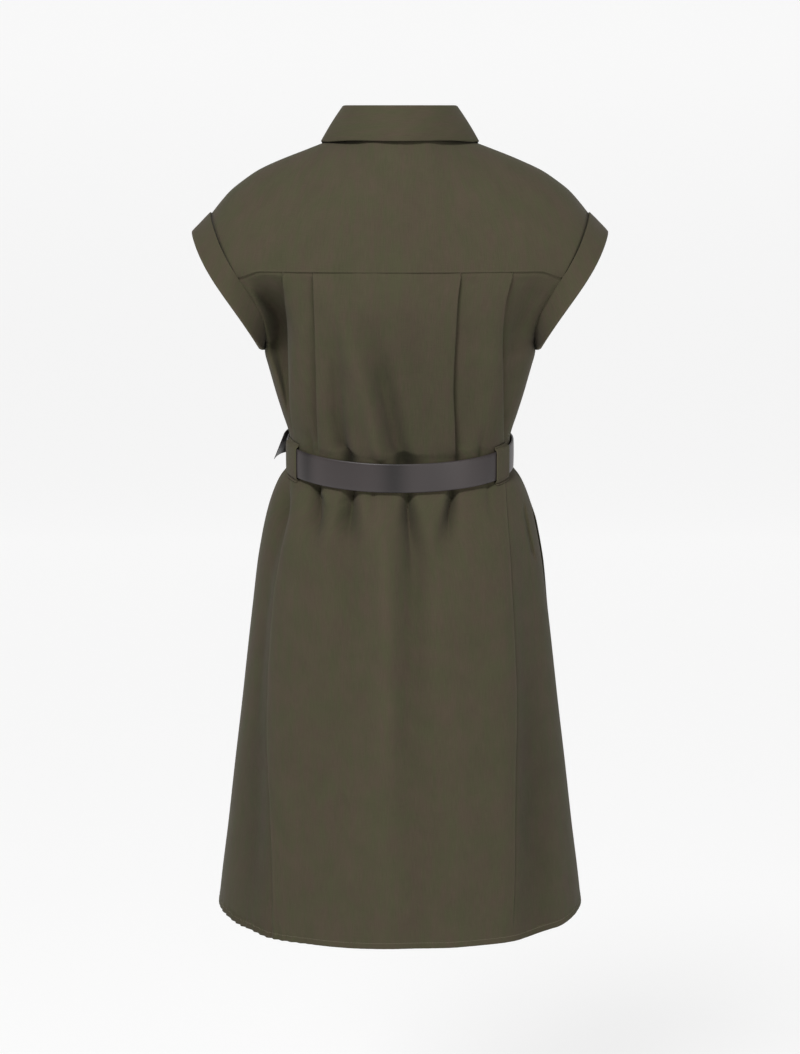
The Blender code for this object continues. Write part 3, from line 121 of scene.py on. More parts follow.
# sleeve opening: height, distance from the middle, depth behind and before
ARMHOLE_ROWS: Rows = (
    (-88.0, 221.0, 60.0, 60.0), (-110.0, 212.0, 66.0, 66.0), (-131.0, 202.5, 71.0, 70.0),
    (-149.0, 193.0, 73.5, 71.5), (-165.0, 184.0, 70.0, 70.0), (-185.0, 171.5, 61.0, 62.0),
    (-204.0, 162.0, 50.0, 52.0), (-222.0, 158.5, 35.0, 37.0), (-234.0, 158.4, 18.0, 19.0),
    (-240.0, 159.4, 0.0, 0.0),
)
# the edges of the back's pressed pleats: height, distance from the middle
BACK_LINES: dict[str, Rows] = {
    "right_side": ((-149, -130), (-190, -121), (-230, -119), (-281, -120), (-350, -123),
                   (-403, -125), (-460, -128), (-522, -132), (-600, -137), (-657, -139),
                   (-750, -137), (-844, -137), (-937, -134)),
    "right_pleat": ((-149, -70), (-183, -66), (-226, -64), (-277, -62), (-330, -65), (-366, -66),
                    (-411, -62), (-445, -54), (-520, -62), (-937, -80)),
    "left_pleat": ((-149, 99.5), (-210, 98), (-279, 97), (-365, 95.5), (-400, 96), (-427, 106),
                   (-450, 110), (-548, 112), (-937, 112)),
    "left_side": ((-149, 135), (-197, 132), (-249, 130.5), (-282, 129.5), (-357, 126),
                  (-403, 134), (-472, 142), (-554, 152), (-635, 158), (-694, 160),
                  (-785, 155), (-847, 152), (-937, 151)),
}
# which way each of these edges faces, and the cloth's step at each height
BACK_PLEATS: dict[str, tuple[int, Rows]] = {
    "right_side": (-1, ((-149, 1.2), (-185, 4.0), (-280, 5.0), (-340, 3.6), (-356, 0.5), (-396, 0.5),
                        (-430, 1.3), (-600, 1.3), (-800, 1.0), (-900, 0.5), (-925, 0.0))),
    "right_pleat": (-1, ((-149, 2.2), (-180, 3.0), (-277, 4.0), (-335, 4.6), (-352, 0.0))),
    "left_pleat": (1, ((-149, 2.2), (-180, 2.8), (-279, 3.6), (-335, 4.0), (-352, 0.0))),
    "left_side": (1, ((-149, 1.2), (-185, 4.2), (-250, 5.6), (-310, 4.2), (-356, 0.5), (-396, 0.5),
                      (-430, 1.3), (-600, 1.3), (-800, 1.0), (-900, 0.5), (-925, 0.0))),
}


def smooth_step(value: Array, low: float, high: float) -> Array:
    """Blend from 0 to 1.

    Args:
        value: Values to read.
        low: Value where the curve leaves 0.
        high: Value where it reaches 1.

    Returns:
        The blend for each value.
    """
    share = np.clip((np.asarray(value, float) - low) / (high - low), 0.0, 1.0)
    return share * share * (3.0 - 2.0 * share)


def window(value: Array, start: Ramp, end: Ramp) -> Array:
    """1 between two ramps, each given by its lower and upper end, and 0 outside them."""
    return smooth_step(value, *start) * (1.0 - smooth_step(value, *end))


def peak(value: Array, middle: float, width: float) -> Array:
    """A round peak of height 1 over a middle value."""
    return np.exp(-(((value - middle) / width) ** 2))


def mirrored(points: Array, hand: Array) -> Array:
    """Points whose distance from the middle is taken times +1 or -1."""
    return points * np.stack((hand, np.ones_like(hand), np.ones_like(hand)), axis=-1)


class Curve:
    """A smooth curve through rows of a table, which never overshoots a row."""

    def __init__(self, rows: Rows, column: int = 1) -> None:
        """Take one column of a table by its first column.

        Args:
            rows: The table.
            column: The column to read.
        """
        points = sorted((float(row[0]), float(row[column])) for row in rows)
        self.keys = np.array([point[0] for point in points])
        self.values = np.array([point[1] for point in points])
        steps = np.diff(self.values) / np.diff(self.keys)
        self.slopes = np.concatenate(([steps[0]], np.zeros(len(steps) - 1), [steps[-1]]))
        before, after = steps[:-1], steps[1:]
        same = before * after > 0.0
        total = np.where(same, before + after, 1.0)
        self.slopes[1:-1] = np.where(same, 2.0 * before * after / total, 0.0)

    def __call__(self, value: Array) -> Array:
        """Read the curve.

        Args:
            value: Keys to read at.

        Returns:
            The curve's values.
        """
        key = np.clip(value, self.keys[0], self.keys[-1])
        place = np.clip(np.searchsorted(self.keys, key, side="right") - 1, 0, len(self.keys) - 2)
        width = self.keys[place + 1] - self.keys[place]
        t = (key - self.keys[place]) / width
        return (
            (2 * t**3 - 3 * t**2 + 1) * self.values[place]
            + (t**3 - 2 * t**2 + t) * width * self.slopes[place]
            + (3 * t**2 - 2 * t**3) * self.values[place + 1]
            + (t**3 - t**2) * width * self.slopes[place + 1]
        )


def unit(vectors: Array) -> Array:
    """Vectors of length 1 along the given ones."""
    return vectors / np.maximum(np.linalg.norm(vectors, axis=-1, keepdims=True), 1e-9)


def waves(points: Array, size: float, seed: int) -> Array:
    """Uneven waves over points, for cloth that is never quite smooth.

    Args:
        points: Points in millimetres.
        size: Rough length of a wave.
        seed: Fixed seed of the waves' directions.

    Returns:
        Heights between about -1 and 1.
    """
    chance = np.random.default_rng(seed)
    total = np.zeros(points.shape[:-1])
    for _ in range(WAVE_COUNT):
        way = unit(chance.normal(size=3) * WAVE_STRETCH)
        length = size * chance.uniform(*WAVE_SIZES)
        total += np.sin(points @ way * (2.0 * math.pi / length) + chance.uniform(0.0, WAVE_TURN))
    return total / WAVE_SCALE


# ---------------------------------------------------------------- the form under the cloth
@dataclass(frozen=True)
class DressForm:
    """Rings of the body, arches of the shoulders, sleeve openings and neckline.

    Attributes:
        power: Squareness of the rings; 2 would make them ellipses.
        arch_foot: Length of cloth for each radian that a turn goes below an arch's foot.
        waist_half: Half width and depth of the belted waist.
        waist_dip: How far the waist dips behind and rises in front.
        waist_bow: How much deeper it dips both behind and in front.
        hem_swell: Lift, distance from the middle and width of the hem's swell beside the side seams.
        neck_power: Roundness of the front's arches beside the neck.
        power_gain: How much rounder they are at the shoulder.
    """

    power: float = 2.2
    yoke_level: float = -149.0
    chest_level: float = -165.0
    underarm: float = -240.0
    arch_foot: float = 95.0
    neck_half_width: float = 62.0
    neck_back: float = 56.0
    neck_front: float = 64.0
    front_seam_y: float = -28.0
    sleeve_top: float = 215.0
    belt_centre: float = -371.0
    hem: float = -937.0
    waist_half: Pair = (131.0, 92.5)
    waist_ramps: tuple[Ramp, Ramp] = ((-500.0, -400.0), (-344.0, -262.0))
    waist_dip: float = 14.0
    waist_bow: float = 3.0
    hem_ramp: Ramp = (860.0, 937.0)
    hem_swell: Triple = (3.2, 184.0, 20.0)
    side_lift: float = 9.0
    side_ramp: Ramp = (188.0, 222.0)
    seam_drop: float = 8.0
    seam_ramp: Ramp = (160.0, 190.0)
    neck_power: float = 1.25
    power_gain: float = 0.75
    power_ramp: Ramp = (45.0, 150.0)
    seek_start: float = 200.0
    seek_rounds: int = 16
    width: Curve = field(default_factory=lambda: Curve(BODY_ROWS, 1))
    depth_back: Curve = field(default_factory=lambda: Curve(BODY_ROWS, 2))
    depth_front: Curve = field(default_factory=lambda: Curve(BODY_ROWS, 3))
    top: Curve = field(default_factory=lambda: Curve(SHOULDER_ROWS, 1))
    arm_across: Curve = field(default_factory=lambda: Curve(ARMHOLE_ROWS, 1))
    arm_back: Curve = field(default_factory=lambda: Curve(ARMHOLE_ROWS, 2))
    arm_front: Curve = field(default_factory=lambda: Curve(ARMHOLE_ROWS, 3))

    def ring_sizes(self, side: Side, height: Array) -> tuple[Array, Array, Array]:
        """Size the ring at a height.

        Args:
            side: Side of the body.
            height: Heights.

        Returns:
            Half width, depth and edge angle.
        """
        height = np.asarray(height, float)
        depth = (self.depth_back if side is Side.BACK else self.depth_front)(height)
        edge_x = self.arm_across(height)
        share = np.clip((self.arm_back if side is Side.BACK else self.arm_front)(height) / depth, 0.0, 0.99)
        open_width = edge_x / (1.0 - share**self.power) ** (1.0 / self.power)
        low = height <= self.underarm
        half = np.where(low, self.width(height), open_width)
        edge = np.where(low, math.pi / 2, np.arctan2(edge_x / open_width, share))
        return half, depth, edge

    def ring_point(self, side: Side, angle: Array, height: Array) -> Array:
        """Points of the body: angle 0 is the middle, 90 degrees the side.

        Args:
            side: Side of the body.
            angle: Angles round the ring.
            height: Heights at the side seams.

        Returns:
            Points, with the waist's dip behind, its rise in front and the hem's lift at the sides.
        """
        half, depth, _ = self.ring_sizes(side, height)
        cosine, sine = np.cos(angle), np.sin(angle)
        reach = (np.abs(cosine) ** self.power + np.abs(sine) ** self.power) ** (-1.0 / self.power)
        forward = side.value * cosine
        dip = -self.waist_dip * forward - self.waist_bow * forward**2
        dip = dip * window(height, *self.waist_ramps)
        across = half * reach * sine
        swell, *middle = self.hem_swell
        lift = swell * peak(np.abs(across), *middle)
        lift = lift + self.side_lift * smooth_step(np.abs(across), *self.side_ramp)
        lift = lift * smooth_step(-height, *self.hem_ramp)
        return np.stack(np.broadcast_arrays(
            across, side.value * depth * reach * cosine, height + dip + lift), axis=-1)

    def ring_depth(self, side: Side, across: Array, height: Array) -> Array:
        """Depth of the ring at a distance from the middle."""
        half, depth, _ = self.ring_sizes(side, height)
        share = np.minimum(np.abs(across) / half, 1.0)
        return depth * (1.0 - share**self.power) ** (1.0 / self.power)

    def ring_angle(self, side: Side, across: Array, height: Array) -> Array:
        """The ring's angle at a distance from the middle."""
        half, _, edge = self.ring_sizes(side, height)
        share = np.minimum(np.abs(across) / half, 1.0)
        rest = (1.0 - share**self.power) ** (1.0 / self.power)
        return np.copysign(np.minimum(np.arctan2(share, rest), edge), across)

    def level(self, side: Side) -> float:
        """Height of the foot of the shoulder arches."""
        return self.yoke_level if side is Side.BACK else self.chest_level

    def arch_power(self, side: Side, across: Array) -> Array:
        """Roundness of an arch: nearly straight beside the neck in front."""
        if side is Side.BACK:
            return np.full(np.shape(across), 2.0)
        return self.neck_power + self.power_gain * smooth_step(np.abs(across), *self.power_ramp)

    def arch_point(self, side: Side, across: Array, turn: Array) -> Array:
        """Points on the arch over the shoulder.

        Args:
            side: Side of the body.
            across: Distances from the middle.
            turn: 0 on the shoulder line, 90 degrees at the foot, more on the body's rings.

        Returns:
            Points on the arch.
        """
        across, turn = np.broadcast_arrays(np.asarray(across, float), np.asarray(turn, float))
        level = self.level(side)
        power = 2.0 / self.arch_power(side, across)
        crown = self.top(np.abs(across))
        depth = self.ring_depth(side, across, level)
        sine = np.clip(np.sin(turn), 0.0, 1.0) ** power
        cosine = np.clip(np.cos(turn), 0.0, 1.0) ** power
        low = level - (turn - math.pi / 2) * self.arch_foot
        below = turn > math.pi / 2
        y = np.where(below, self.ring_depth(side, across, low), depth * sine)
        z = np.where(below, low, level + (crown - level) * cosine)
        return np.stack((across, side.value * y, z), axis=-1)

    def arch_turn(self, side: Side, across: Array, forth: Array) -> Array:
        """The turn at which an arch reaches a distance behind or before the shoulder line."""
        share = np.minimum(np.abs(forth) / self.ring_depth(side, across, self.level(side)), 1.0)
        return np.arcsin(share ** (self.arch_power(side, across) / 2.0))

    def shoulder_point(self, across: Array, turn: Array) -> Array:
        """Points on the shoulders by a signed turn, above 0 behind the shoulder line."""
        across, turn = np.broadcast_arrays(np.asarray(across, float), np.asarray(turn, float))
        behind = self.arch_point(Side.BACK, across, np.abs(turn))
        before = self.arch_point(Side.FRONT, across, np.abs(turn))
        return np.where((turn >= 0.0)[..., None], behind, before)

    def shoulder_normal(self, across: Array, turn: Array) -> Array:
        """Outward normals of the shoulders."""
        along = self.shoulder_point(across, turn - TURN_STEP) - self.shoulder_point(across, turn + TURN_STEP)
        spread = self.shoulder_point(across + 1.0, turn) - self.shoulder_point(across - 1.0, turn)
        return unit(np.cross(along, spread))

    def edge_across(self, turn: Array) -> Array:
        """Distance from the middle at which an arch reaches the sleeve opening."""
        across = np.full(np.shape(turn), self.seek_start)
        for _ in range(self.seek_rounds):
            across = self.arm_across(self.shoulder_point(across, turn)[..., 2])
        return across

    def neck_place(self, angle: Array) -> tuple[Array, Array]:
        """The neckline as distances from the middle and signed turns; angle 0 is behind."""
        across = self.neck_half_width * np.sin(angle)
        cosine = np.cos(angle)
        forth = np.where(cosine >= 0.0, self.neck_back, self.neck_front) * cosine
        turn = np.where(forth >= 0.0, self.arch_turn(Side.BACK, across, forth),
                        self.arch_turn(Side.FRONT, across, forth))
        return across, np.copysign(turn, forth)

    def neck_corner(self) -> Pair:
        """Angle round the neck of the shoulder seam's end, and its distance from the middle."""
        corner = math.pi / 2 + math.asin(-self.front_seam_y / self.neck_front)
        return corner, self.neck_half_width * math.sin(corner)

    def seam_dip(self, across: Array) -> Array:
        """Drop of the yoke seam's ends beside the sleeve openings."""
        return -self.seam_drop * smooth_step(np.abs(across), *self.seam_ramp)

    def around(self, angle: Array, height: Array) -> Array:
        """Points of the body by an angle all the way round: 0 behind, +90 degrees at +X."""
        angle = (np.asarray(angle, float) + math.pi) % (2.0 * math.pi) - math.pi
        behind = np.abs(angle) <= math.pi / 2
        place = np.where(behind, angle, np.copysign(math.pi - np.abs(angle), angle))
        back, front = (self.ring_point(side, place, height) for side in (Side.BACK, Side.FRONT))
        return np.where(np.broadcast_to(behind, back.shape[:-1])[..., None], back, front)

    def around_normal(self, angle: Array, height: Array) -> Array:
        """Outward normals at angles all the way round."""
        spread = self.around(angle + TURN_STEP, height) - self.around(angle - TURN_STEP, height)
        fall = self.around(angle, height - 1.0) - self.around(angle, height + 1.0)
        return unit(np.cross(spread, fall))

    def waist_outward(self, angle: Array) -> Array:
        """Level directions away from the waist, at full angles."""
        flat = self.around(angle, self.belt_centre)
        half, depth = self.waist_half
        return unit(flat / np.array((half**2, depth**2, 1.0)) * np.array((1.0, 1.0, 0.0)))

    def waist(self, angle: Array, height: Array, lift: Array) -> Array:
        """Points over the waist, lifted off the form, at full angles."""
        return self.around(angle, height) + self.waist_outward(angle) * np.asarray(lift, float)[..., None]

    def opening(self, lap: Array) -> Array:
        """The left sleeve opening: lap 0 at the shoulder, 0.5 at the underarm, back first."""
        lap = np.asarray(lap, float) % 1.0
        hand = np.where(lap <= 0.5, 1.0, -1.0)
        share = np.where(lap <= 0.5, lap, 1.0 - lap) * 2.0
        turn = hand * math.pi * np.minimum(share, 0.5)
        upper = self.shoulder_point(self.edge_across(turn), turn)
        lower = []
        for side in Side:
            level = self.level(side)
            height = level + (self.underarm - level) * np.sin(math.pi * np.maximum(share - 0.5, 0.0))
            lower.append(self.ring_point(side, self.ring_sizes(side, height)[2], height))
        below = np.where((hand > 0)[..., None], lower[0], lower[1])
        return np.where((share <= 0.5)[..., None], upper, below)


FORM = DressForm()


# ---------------------------------------------------------------- folds of the cloth
@dataclass(frozen=True)
class Fold:
    """A ridge (rise above 0) or hollow along a line.

    Attributes:
        side: Side of the body it lies on.
        rows: Height, distance from the middle, half width and rise, from top to bottom.
        shape: Soft folds are round, and sharp ones come to an edge.
    """

    side: Side
    rows: Rows
    shape: Shape = Shape.SOFT

    def rise(self, across: Array, height: Array) -> Array:
        """Rise of the cloth at places on the fold's side of the body."""
        middle, width, rise = (Curve(self.rows, column)(height) for column in (1, 2, 3))
        share = np.abs(across - middle) / width
        form = {Shape.SOFT: np.exp(-share**2), Shape.SHARP: np.exp(-share),
                Shape.FLAT: 1.0 / (1.0 + share**6)}[self.shape]
        return np.where((height > self.rows[-1][0]) & (height < self.rows[0][0]), rise * form, 0.0)


def folds(side: Side, shape: Shape, *tables: Rows) -> tuple[Fold, ...]:
    """Folds of one shape on one side of the body.

    Args:
        side: Side of the body.
        shape: Cross section of them all.
        tables: Height, distance from the middle, half width and rise of each fold.

    Returns:
        The folds, in the order given.
    """
    return tuple(Fold(side, rows, shape) for rows in tables)


# the large folds; each row is height, distance from the middle, half width, rise
SOFT_FOLDS: tuple[Fold, ...] = (
    *folds(
        Side.BACK, Shape.SOFT,
        ((-172, 72, 18, 0.0), (-215, 61, 15, 3.0), (-256, 50, 13, 5.2), (-302, 35, 11, 6.4),
         (-338, 26, 9, 6.2), (-352, 22, 8, 0.0)),
        ((-185, 46, 16, 0.0), (-215, 36, 15, -4.0), (-256, 24, 14, -8.0), (-302, 11, 12, -11.0),
         (-338, 0, 11, -10.5), (-353, -6, 11, -8.5), (-374, -8, 11, -7.0), (-384, -8, 11, 0.0)),
        ((-190, -5, 40, 0.0), (-256, -10, 42, -2.2), (-338, -30, 38, -3.0), (-352, -34, 34, -2.0),
         (-360, -34, 34, 0.0)),
        ((-185, 80, 9, 0.0), (-256, 74, 10, -5.5), (-302, 73, 10, -8.0), (-338, 68, 9, -11.0),
         (-353, 60, 8, -8.0), (-374, 59, 8, -7.0), (-384, 59, 8, 0.0)),
        ((-149, 168, 12, 0.0), (-172, 160, 14, -4.0), (-210, 147, 13, -7.0), (-250, 140, 9, -5.0),
         (-285, 133, 6, -2.0), (-310, 131, 6, 0.0)),
        ((-149, -160, 14, 0.0), (-185, -150, 16, -5.0), (-215, -142, 13, -6.0), (-262, -136, 10, -3.0),
         (-300, -133, 9, 0.0)),
        ((-383, 57, 6, 0.0), (-389, 57, 7, -6.0), (-403, 58, 10, -10.0), (-420, 61, 13, -11.0),
         (-470, 63, 19, -8.5), (-560, 63, 25, -5.0), (-700, 68, 34, -2.0), (-820, 70, 36, 0.0)),
        ((-383, -9, 6, 0.0), (-389, -9, 6, -6.5), (-403, -10, 8, -11.0), (-425, -12, 11, -13.0),
         (-470, -17, 15, -13.0), (-560, -16, 17, -10.0), (-700, -16, 21, -7.0), (-880, -22, 30, -4.0),
         (-938, -22, 30, -2.5)),
        ((-391, 22, 10, 0.0), (-410, 22, 12, 2.5), (-470, 18, 13, 6.0), (-600, 16, 15, 6.0),
         (-760, 13, 18, 4.0), (-900, 8, 24, 1.6), (-938, 8, 24, 1.0)),
        ((-383, -61, 5, 0.0), (-389, -61, 5, -6.5), (-403, -60, 7, -10.0), (-425, -57, 10, -9.0),
         (-460, -52, 14, -4.5), (-520, -50, 16, 0.0)),
        ((-383, 98, 6, 0.0), (-389, 98, 6, -5.0), (-403, 99, 8, -9.0), (-425, 100, 10, -9.5),
         (-449, 104, 12, -6.5), (-490, 106, 16, -2.0), (-520, 106, 16, 0.0)),
        ((-383, 134, 6, 0.0), (-390, 136, 6, -5.0), (-402, 138, 7, -9.0), (-425, 140, 8, -9.5),
         (-449, 143, 8, -7.0), (-480, 147, 9, -3.0), (-520, 152, 10, 0.0)),
        ((-396, 138, 6, 0.0), (-430, 147, 8, -4.5), (-480, 157, 11, -5.5), (-560, 166, 13, -6.0),
         (-640, 172, 15, -7.0), (-800, 179, 18, -9.0), (-890, 184, 20, -5.0), (-937, 189, 20, -3.0)),
        ((-403, -137, 10, 0.0), (-480, -148, 16, -3.5), (-640, -160, 20, -9.0), (-800, -164, 22, -11.0),
         (-890, -164, 22, -8.0), (-937, -164, 20, -6.0)),
    ),
    *folds(
        Side.FRONT, Shape.SOFT,
        ((-250, 76, 18, 0.0), (-300, 70, 16, -3.5), (-344, 62, 11, -6.5), (-352, 60, 9, 0.0)),
        ((-250, -80, 18, 0.0), (-300, -72, 16, -3.0), (-344, -66, 11, -6.0), (-352, -64, 9, 0.0)),
        ((-270, 108, 16, 0.0), (-315, 102, 14, -3.0), (-344, 98, 9, -5.0), (-352, 96, 9, 0.0)),
        ((-265, -112, 16, 0.0), (-315, -106, 14, -3.4), (-344, -100, 9, -5.5), (-352, -98, 9, 0.0)),
        ((-391, 48, 6, 0.0), (-404, 48, 8, -7.5), (-440, 52, 13, -7.5), (-560, 56, 22, -5.0),
         (-760, 60, 28, 0.0)),
        ((-391, -44, 6, 0.0), (-404, -45, 8, -8.0), (-440, -50, 13, -8.0), (-590, -56, 22, -5.0),
         (-780, -62, 28, 0.0)),
        ((-391, 88, 6, 0.0), (-404, 90, 8, -6.5), (-440, 96, 13, -6.0), (-540, 104, 22, -4.0),
         (-700, 110, 26, -2.0), (-900, 116, 30, 0.0)),
        ((-391, -92, 6, 0.0), (-404, -93, 8, -6.0), (-440, -98, 13, -6.5), (-520, -104, 20, -4.0),
         (-760, -118, 28, 0.0)),
        ((-391, 68, 9, 0.0), (-420, 70, 12, 2.5), (-560, 80, 18, 3.5), (-760, 86, 24, 3.0),
         (-937, 90, 28, 2.0)),
        ((-391, -68, 9, 0.0), (-420, -71, 12, 2.5), (-560, -80, 18, 3.0), (-760, -90, 24, 3.5),
         (-937, -96, 28, 2.0)),
        ((-391, 124, 6, 0.0), (-404, 130, 7, -4.0), (-440, 140, 10, -4.5), (-520, 148, 14, 0.0)),
        ((-391, -120, 6, 0.0), (-404, -126, 7, -4.5), (-440, -136, 10, -4.0), (-520, -146, 14, 0.0)),
    ),
)

# finer creases of the cloth itself
CREASES: tuple[Fold, ...] = (
    *folds(
        Side.BACK, Shape.SHARP,
        # pinched creases that leave the belt's lower edge
        ((-383, 57, 2.4, 0.0), (-389, 57, 2.8, -6.0), (-396, 58, 3.6, -8.0), (-408, 60, 5.0, -8.0),
         (-426, 62, 6.5, -5.0), (-450, 64, 7, 0.0)),
        ((-383, -9, 2.2, 0.0), (-389, -9, 2.8, -6.0), (-396, -9, 3.2, -8.5), (-412, -10, 4.4, -10.0),
         (-440, -12, 6.0, -6.5), (-500, -14, 8, 0.0)),
        ((-383, -62, 2.2, 0.0), (-389, -62, 2.8, -6.0), (-396, -62, 3.2, -8.0), (-412, -60, 4.0, -8.5),
         (-432, -59, 4.8, -4.5), (-458, -56, 5, 0.0)),
        ((-383, 98, 2.0, 0.0), (-389, 98, 2.6, -5.0), (-398, 98, 3.0, -6.5), (-412, 98, 4.0, -6.5),
         (-432, 99, 5, -3.0), (-450, 102, 6, 0.0)),
        ((-383, 31, 2.0, 0.0), (-389, 31, 2.6, -2.8), (-398, 31, 3.0, -2.8), (-410, 34, 4.0, -2.0),
         (-424, 36, 4, 0.0)),
        ((-383, -104, 2.0, 0.0), (-389, -104, 2.6, -3.4), (-398, -104, 2.8, -3.4), (-414, -106, 3.6, -2.4),
         (-436, -110, 4, 0.0)),
    ),
    *folds(
        Side.BACK, Shape.SOFT,
        ((-392, 68, 5, 0.0), (-408, 73, 6, 1.8), (-440, 79, 9, 1.0), (-480, 82, 12, 0.0)),
        ((-392, 47, 5, 0.0), (-408, 44, 6, 1.6), (-440, 40, 9, 0.9), (-480, 37, 12, 0.0)),
    ),
    *folds(
        Side.BACK, Shape.SHARP,
        # creases that run up from the belt
        ((-240, 77, 5, 0.0), (-302, 77, 5, -2.5), (-338, 72, 4.5, -4.0), (-346, 66, 4, -4.5),
         (-354, 62, 4, -4.5), (-374, 61, 4, -4.0), (-384, 61, 3, 0.0)),
        ((-230, 34, 6, 0.0), (-302, 17, 6, -3.0), (-336, 7, 5.5, -3.5), (-346, 3, 4.5, -4.0),
         (-354, 0, 4.5, -4.5), (-374, -1, 4.5, -4.0), (-384, -1, 4, 0.0)),
    ),
    *folds(
        Side.BACK, Shape.FLAT,
        ((-344, -13, 14, 0.0), (-350, -13, 15, -1.5), (-355, -13, 15, -2.5), (-374, -13, 15, -2.5),
         (-384, -13, 14, 0.0)),
    ),
    *folds(
        Side.BACK, Shape.SHARP,
        # cloth drawn in along the lower layers of the pleats
        ((-200, 102, 5, 0.0), (-256, 101.5, 5, -2.4), (-302, 101, 5, -3.2), (-346, 99, 5, -3.2),
         (-358, 99, 5, 0.0)),
        ((-160, -71, 6, 0.0), (-226, -67, 6, -2.6), (-277, -65, 7, -3.4), (-330, -68, 7, -4.2),
         (-352, -69, 7, -5.0), (-374, -69, 7, -5.0), (-384, -69, 7, 0.0)),
        ((-170, -126, 5, 0.0), (-230, -122, 5, -2.6), (-281, -123, 5, -3.4), (-340, -126, 5, -3.4),
         (-356, -126, 5, 0.0)),
        ((-306, 112, 4, 0.0), (-332, 108, 3.6, -2.8), (-346, 106, 3, -4.4), (-354, 105, 3, -4.4),
         (-361, 105, 3, 0.0)),
        ((-312, -100, 4, 0.0), (-334, -97, 3.6, -2.6), (-346, -95, 3, -4.0), (-354, -95, 3, -4.0),
         (-361, -95, 3, 0.0)),
        # a tuck below the belt on the left side
        ((-384, 136, 2.5, 0.0), (-390, 138, 3.0, -5.0), (-396, 140, 3.5, -5.5), (-410, 146, 5, -3.5),
         (-430, 152, 6, 0.0)),
        # slanting folds that spread from the tucks
        ((-385, 55, 2.5, 0.0), (-390, 58, 3.0, -4.0), (-400, 68, 3.5, -4.0), (-412, 79, 4.5, 0.0)),
        ((-385, 101, 2.5, 0.0), (-391, 99, 3.0, -3.5), (-404, 92, 3.5, -3.5), (-418, 84, 4.5, 0.0)),
    ),
    *folds(
        Side.BACK, Shape.SOFT,
        # slack cloth across the shoulder blades and beside the pleats
        ((-160, 40, 18, 0.0), (-200, 34, 20, 0.9), (-250, 30, 18, 0.6), (-290, 26, 14, 0.0)),
        ((-165, -20, 22, 0.0), (-215, -22, 22, -1.6), (-280, -26, 20, -2.2), (-330, -30, 14, 0.0)),
        ((-190, 112, 8, 0.0), (-230, 113, 8, 2.0), (-290, 112, 8, 2.0), (-335, 110, 6, 0.0)),
        ((-180, -88, 12, 0.0), (-230, -84, 13, -2.4), (-300, -84, 12, -3.2), (-340, -90, 8, 0.0)),
        # long slack waves of the skirt
        ((-480, 98, 18, 0.0), (-600, 104, 22, -1.5), (-760, 108, 24, -1.8), (-937, 108, 26, -1.2)),
        ((-470, -84, 18, 0.0), (-590, -88, 22, -1.4), (-760, -92, 24, -1.8), (-937, -96, 26, -1.2)),
        ((-640, 40, 20, 0.0), (-760, 44, 24, 0.9), (-937, 46, 26, 0.7)),
    ),
    *folds(
        Side.FRONT, Shape.SHARP,
        # the same on the front
        ((-390, 46, 2.2, 0.0), (-398, 47, 3.0, -3.4), (-414, 49, 4.0, -3.0), (-444, 52, 5, 0.0)),
        ((-390, -43, 2.2, 0.0), (-398, -44, 3.0, -3.6), (-418, -47, 4.0, -2.8), (-450, -51, 5, 0.0)),
        ((-390, 90, 2.2, 0.0), (-398, 90, 3.0, -3.0), (-412, 93, 4.0, -2.2), (-436, 97, 5, 0.0)),
        ((-390, -93, 2.2, 0.0), (-398, -93, 3.0, -3.0), (-412, -96, 4.0, -2.4), (-440, -99, 5, 0.0)),
        ((-316, 66, 5, 0.0), (-336, 63, 4, -2.0), (-347, 61, 3, -3.6), (-353, 60, 3, 0.0)),
        ((-318, -68, 5, 0.0), (-336, -66, 4, -2.0), (-347, -65, 3, -3.4), (-353, -64, 3, 0.0)),
    ),
    *folds(
        Side.FRONT, Shape.SOFT,
        ((-190, 96, 16, 0.0), (-225, 104, 14, 1.6), (-262, 116, 12, 1.2), (-290, 126, 10, 0.0)),
        ((-188, -98, 16, 0.0), (-222, -106, 14, 1.4), (-260, -118, 12, 1.2), (-288, -126, 10, 0.0)),
    ),
)

# grooves that run straight into the cloth: beside the left pleat, and by the pocket's facing
GROOVES: tuple[Fold, ...] = (
    *folds(
        Side.BACK, Shape.FLAT,
        ((-152, 150, 10, 0.0), (-162, 150, 13, 6.0), (-178, 150, 16, 18.0), (-204, 147, 16, 28.0),
         (-222, 144.5, 14.5, 30.0), (-245, 142, 11.5, 30.0), (-267, 138.5, 8, 26.0),
         (-285, 136, 5.5, 18.0), (-302, 134, 3.6, 9.0), (-318, 132, 2, 0.0)),
        ((-422, -147, 1.2, 0.0), (-434, -148.5, 1.3, 5.0), (-448, -151.5, 1.3, 6.0),
         (-484, -158.5, 1.3, 6.0), (-496, -161.5, 1.2, 0.0)),
    ),
)
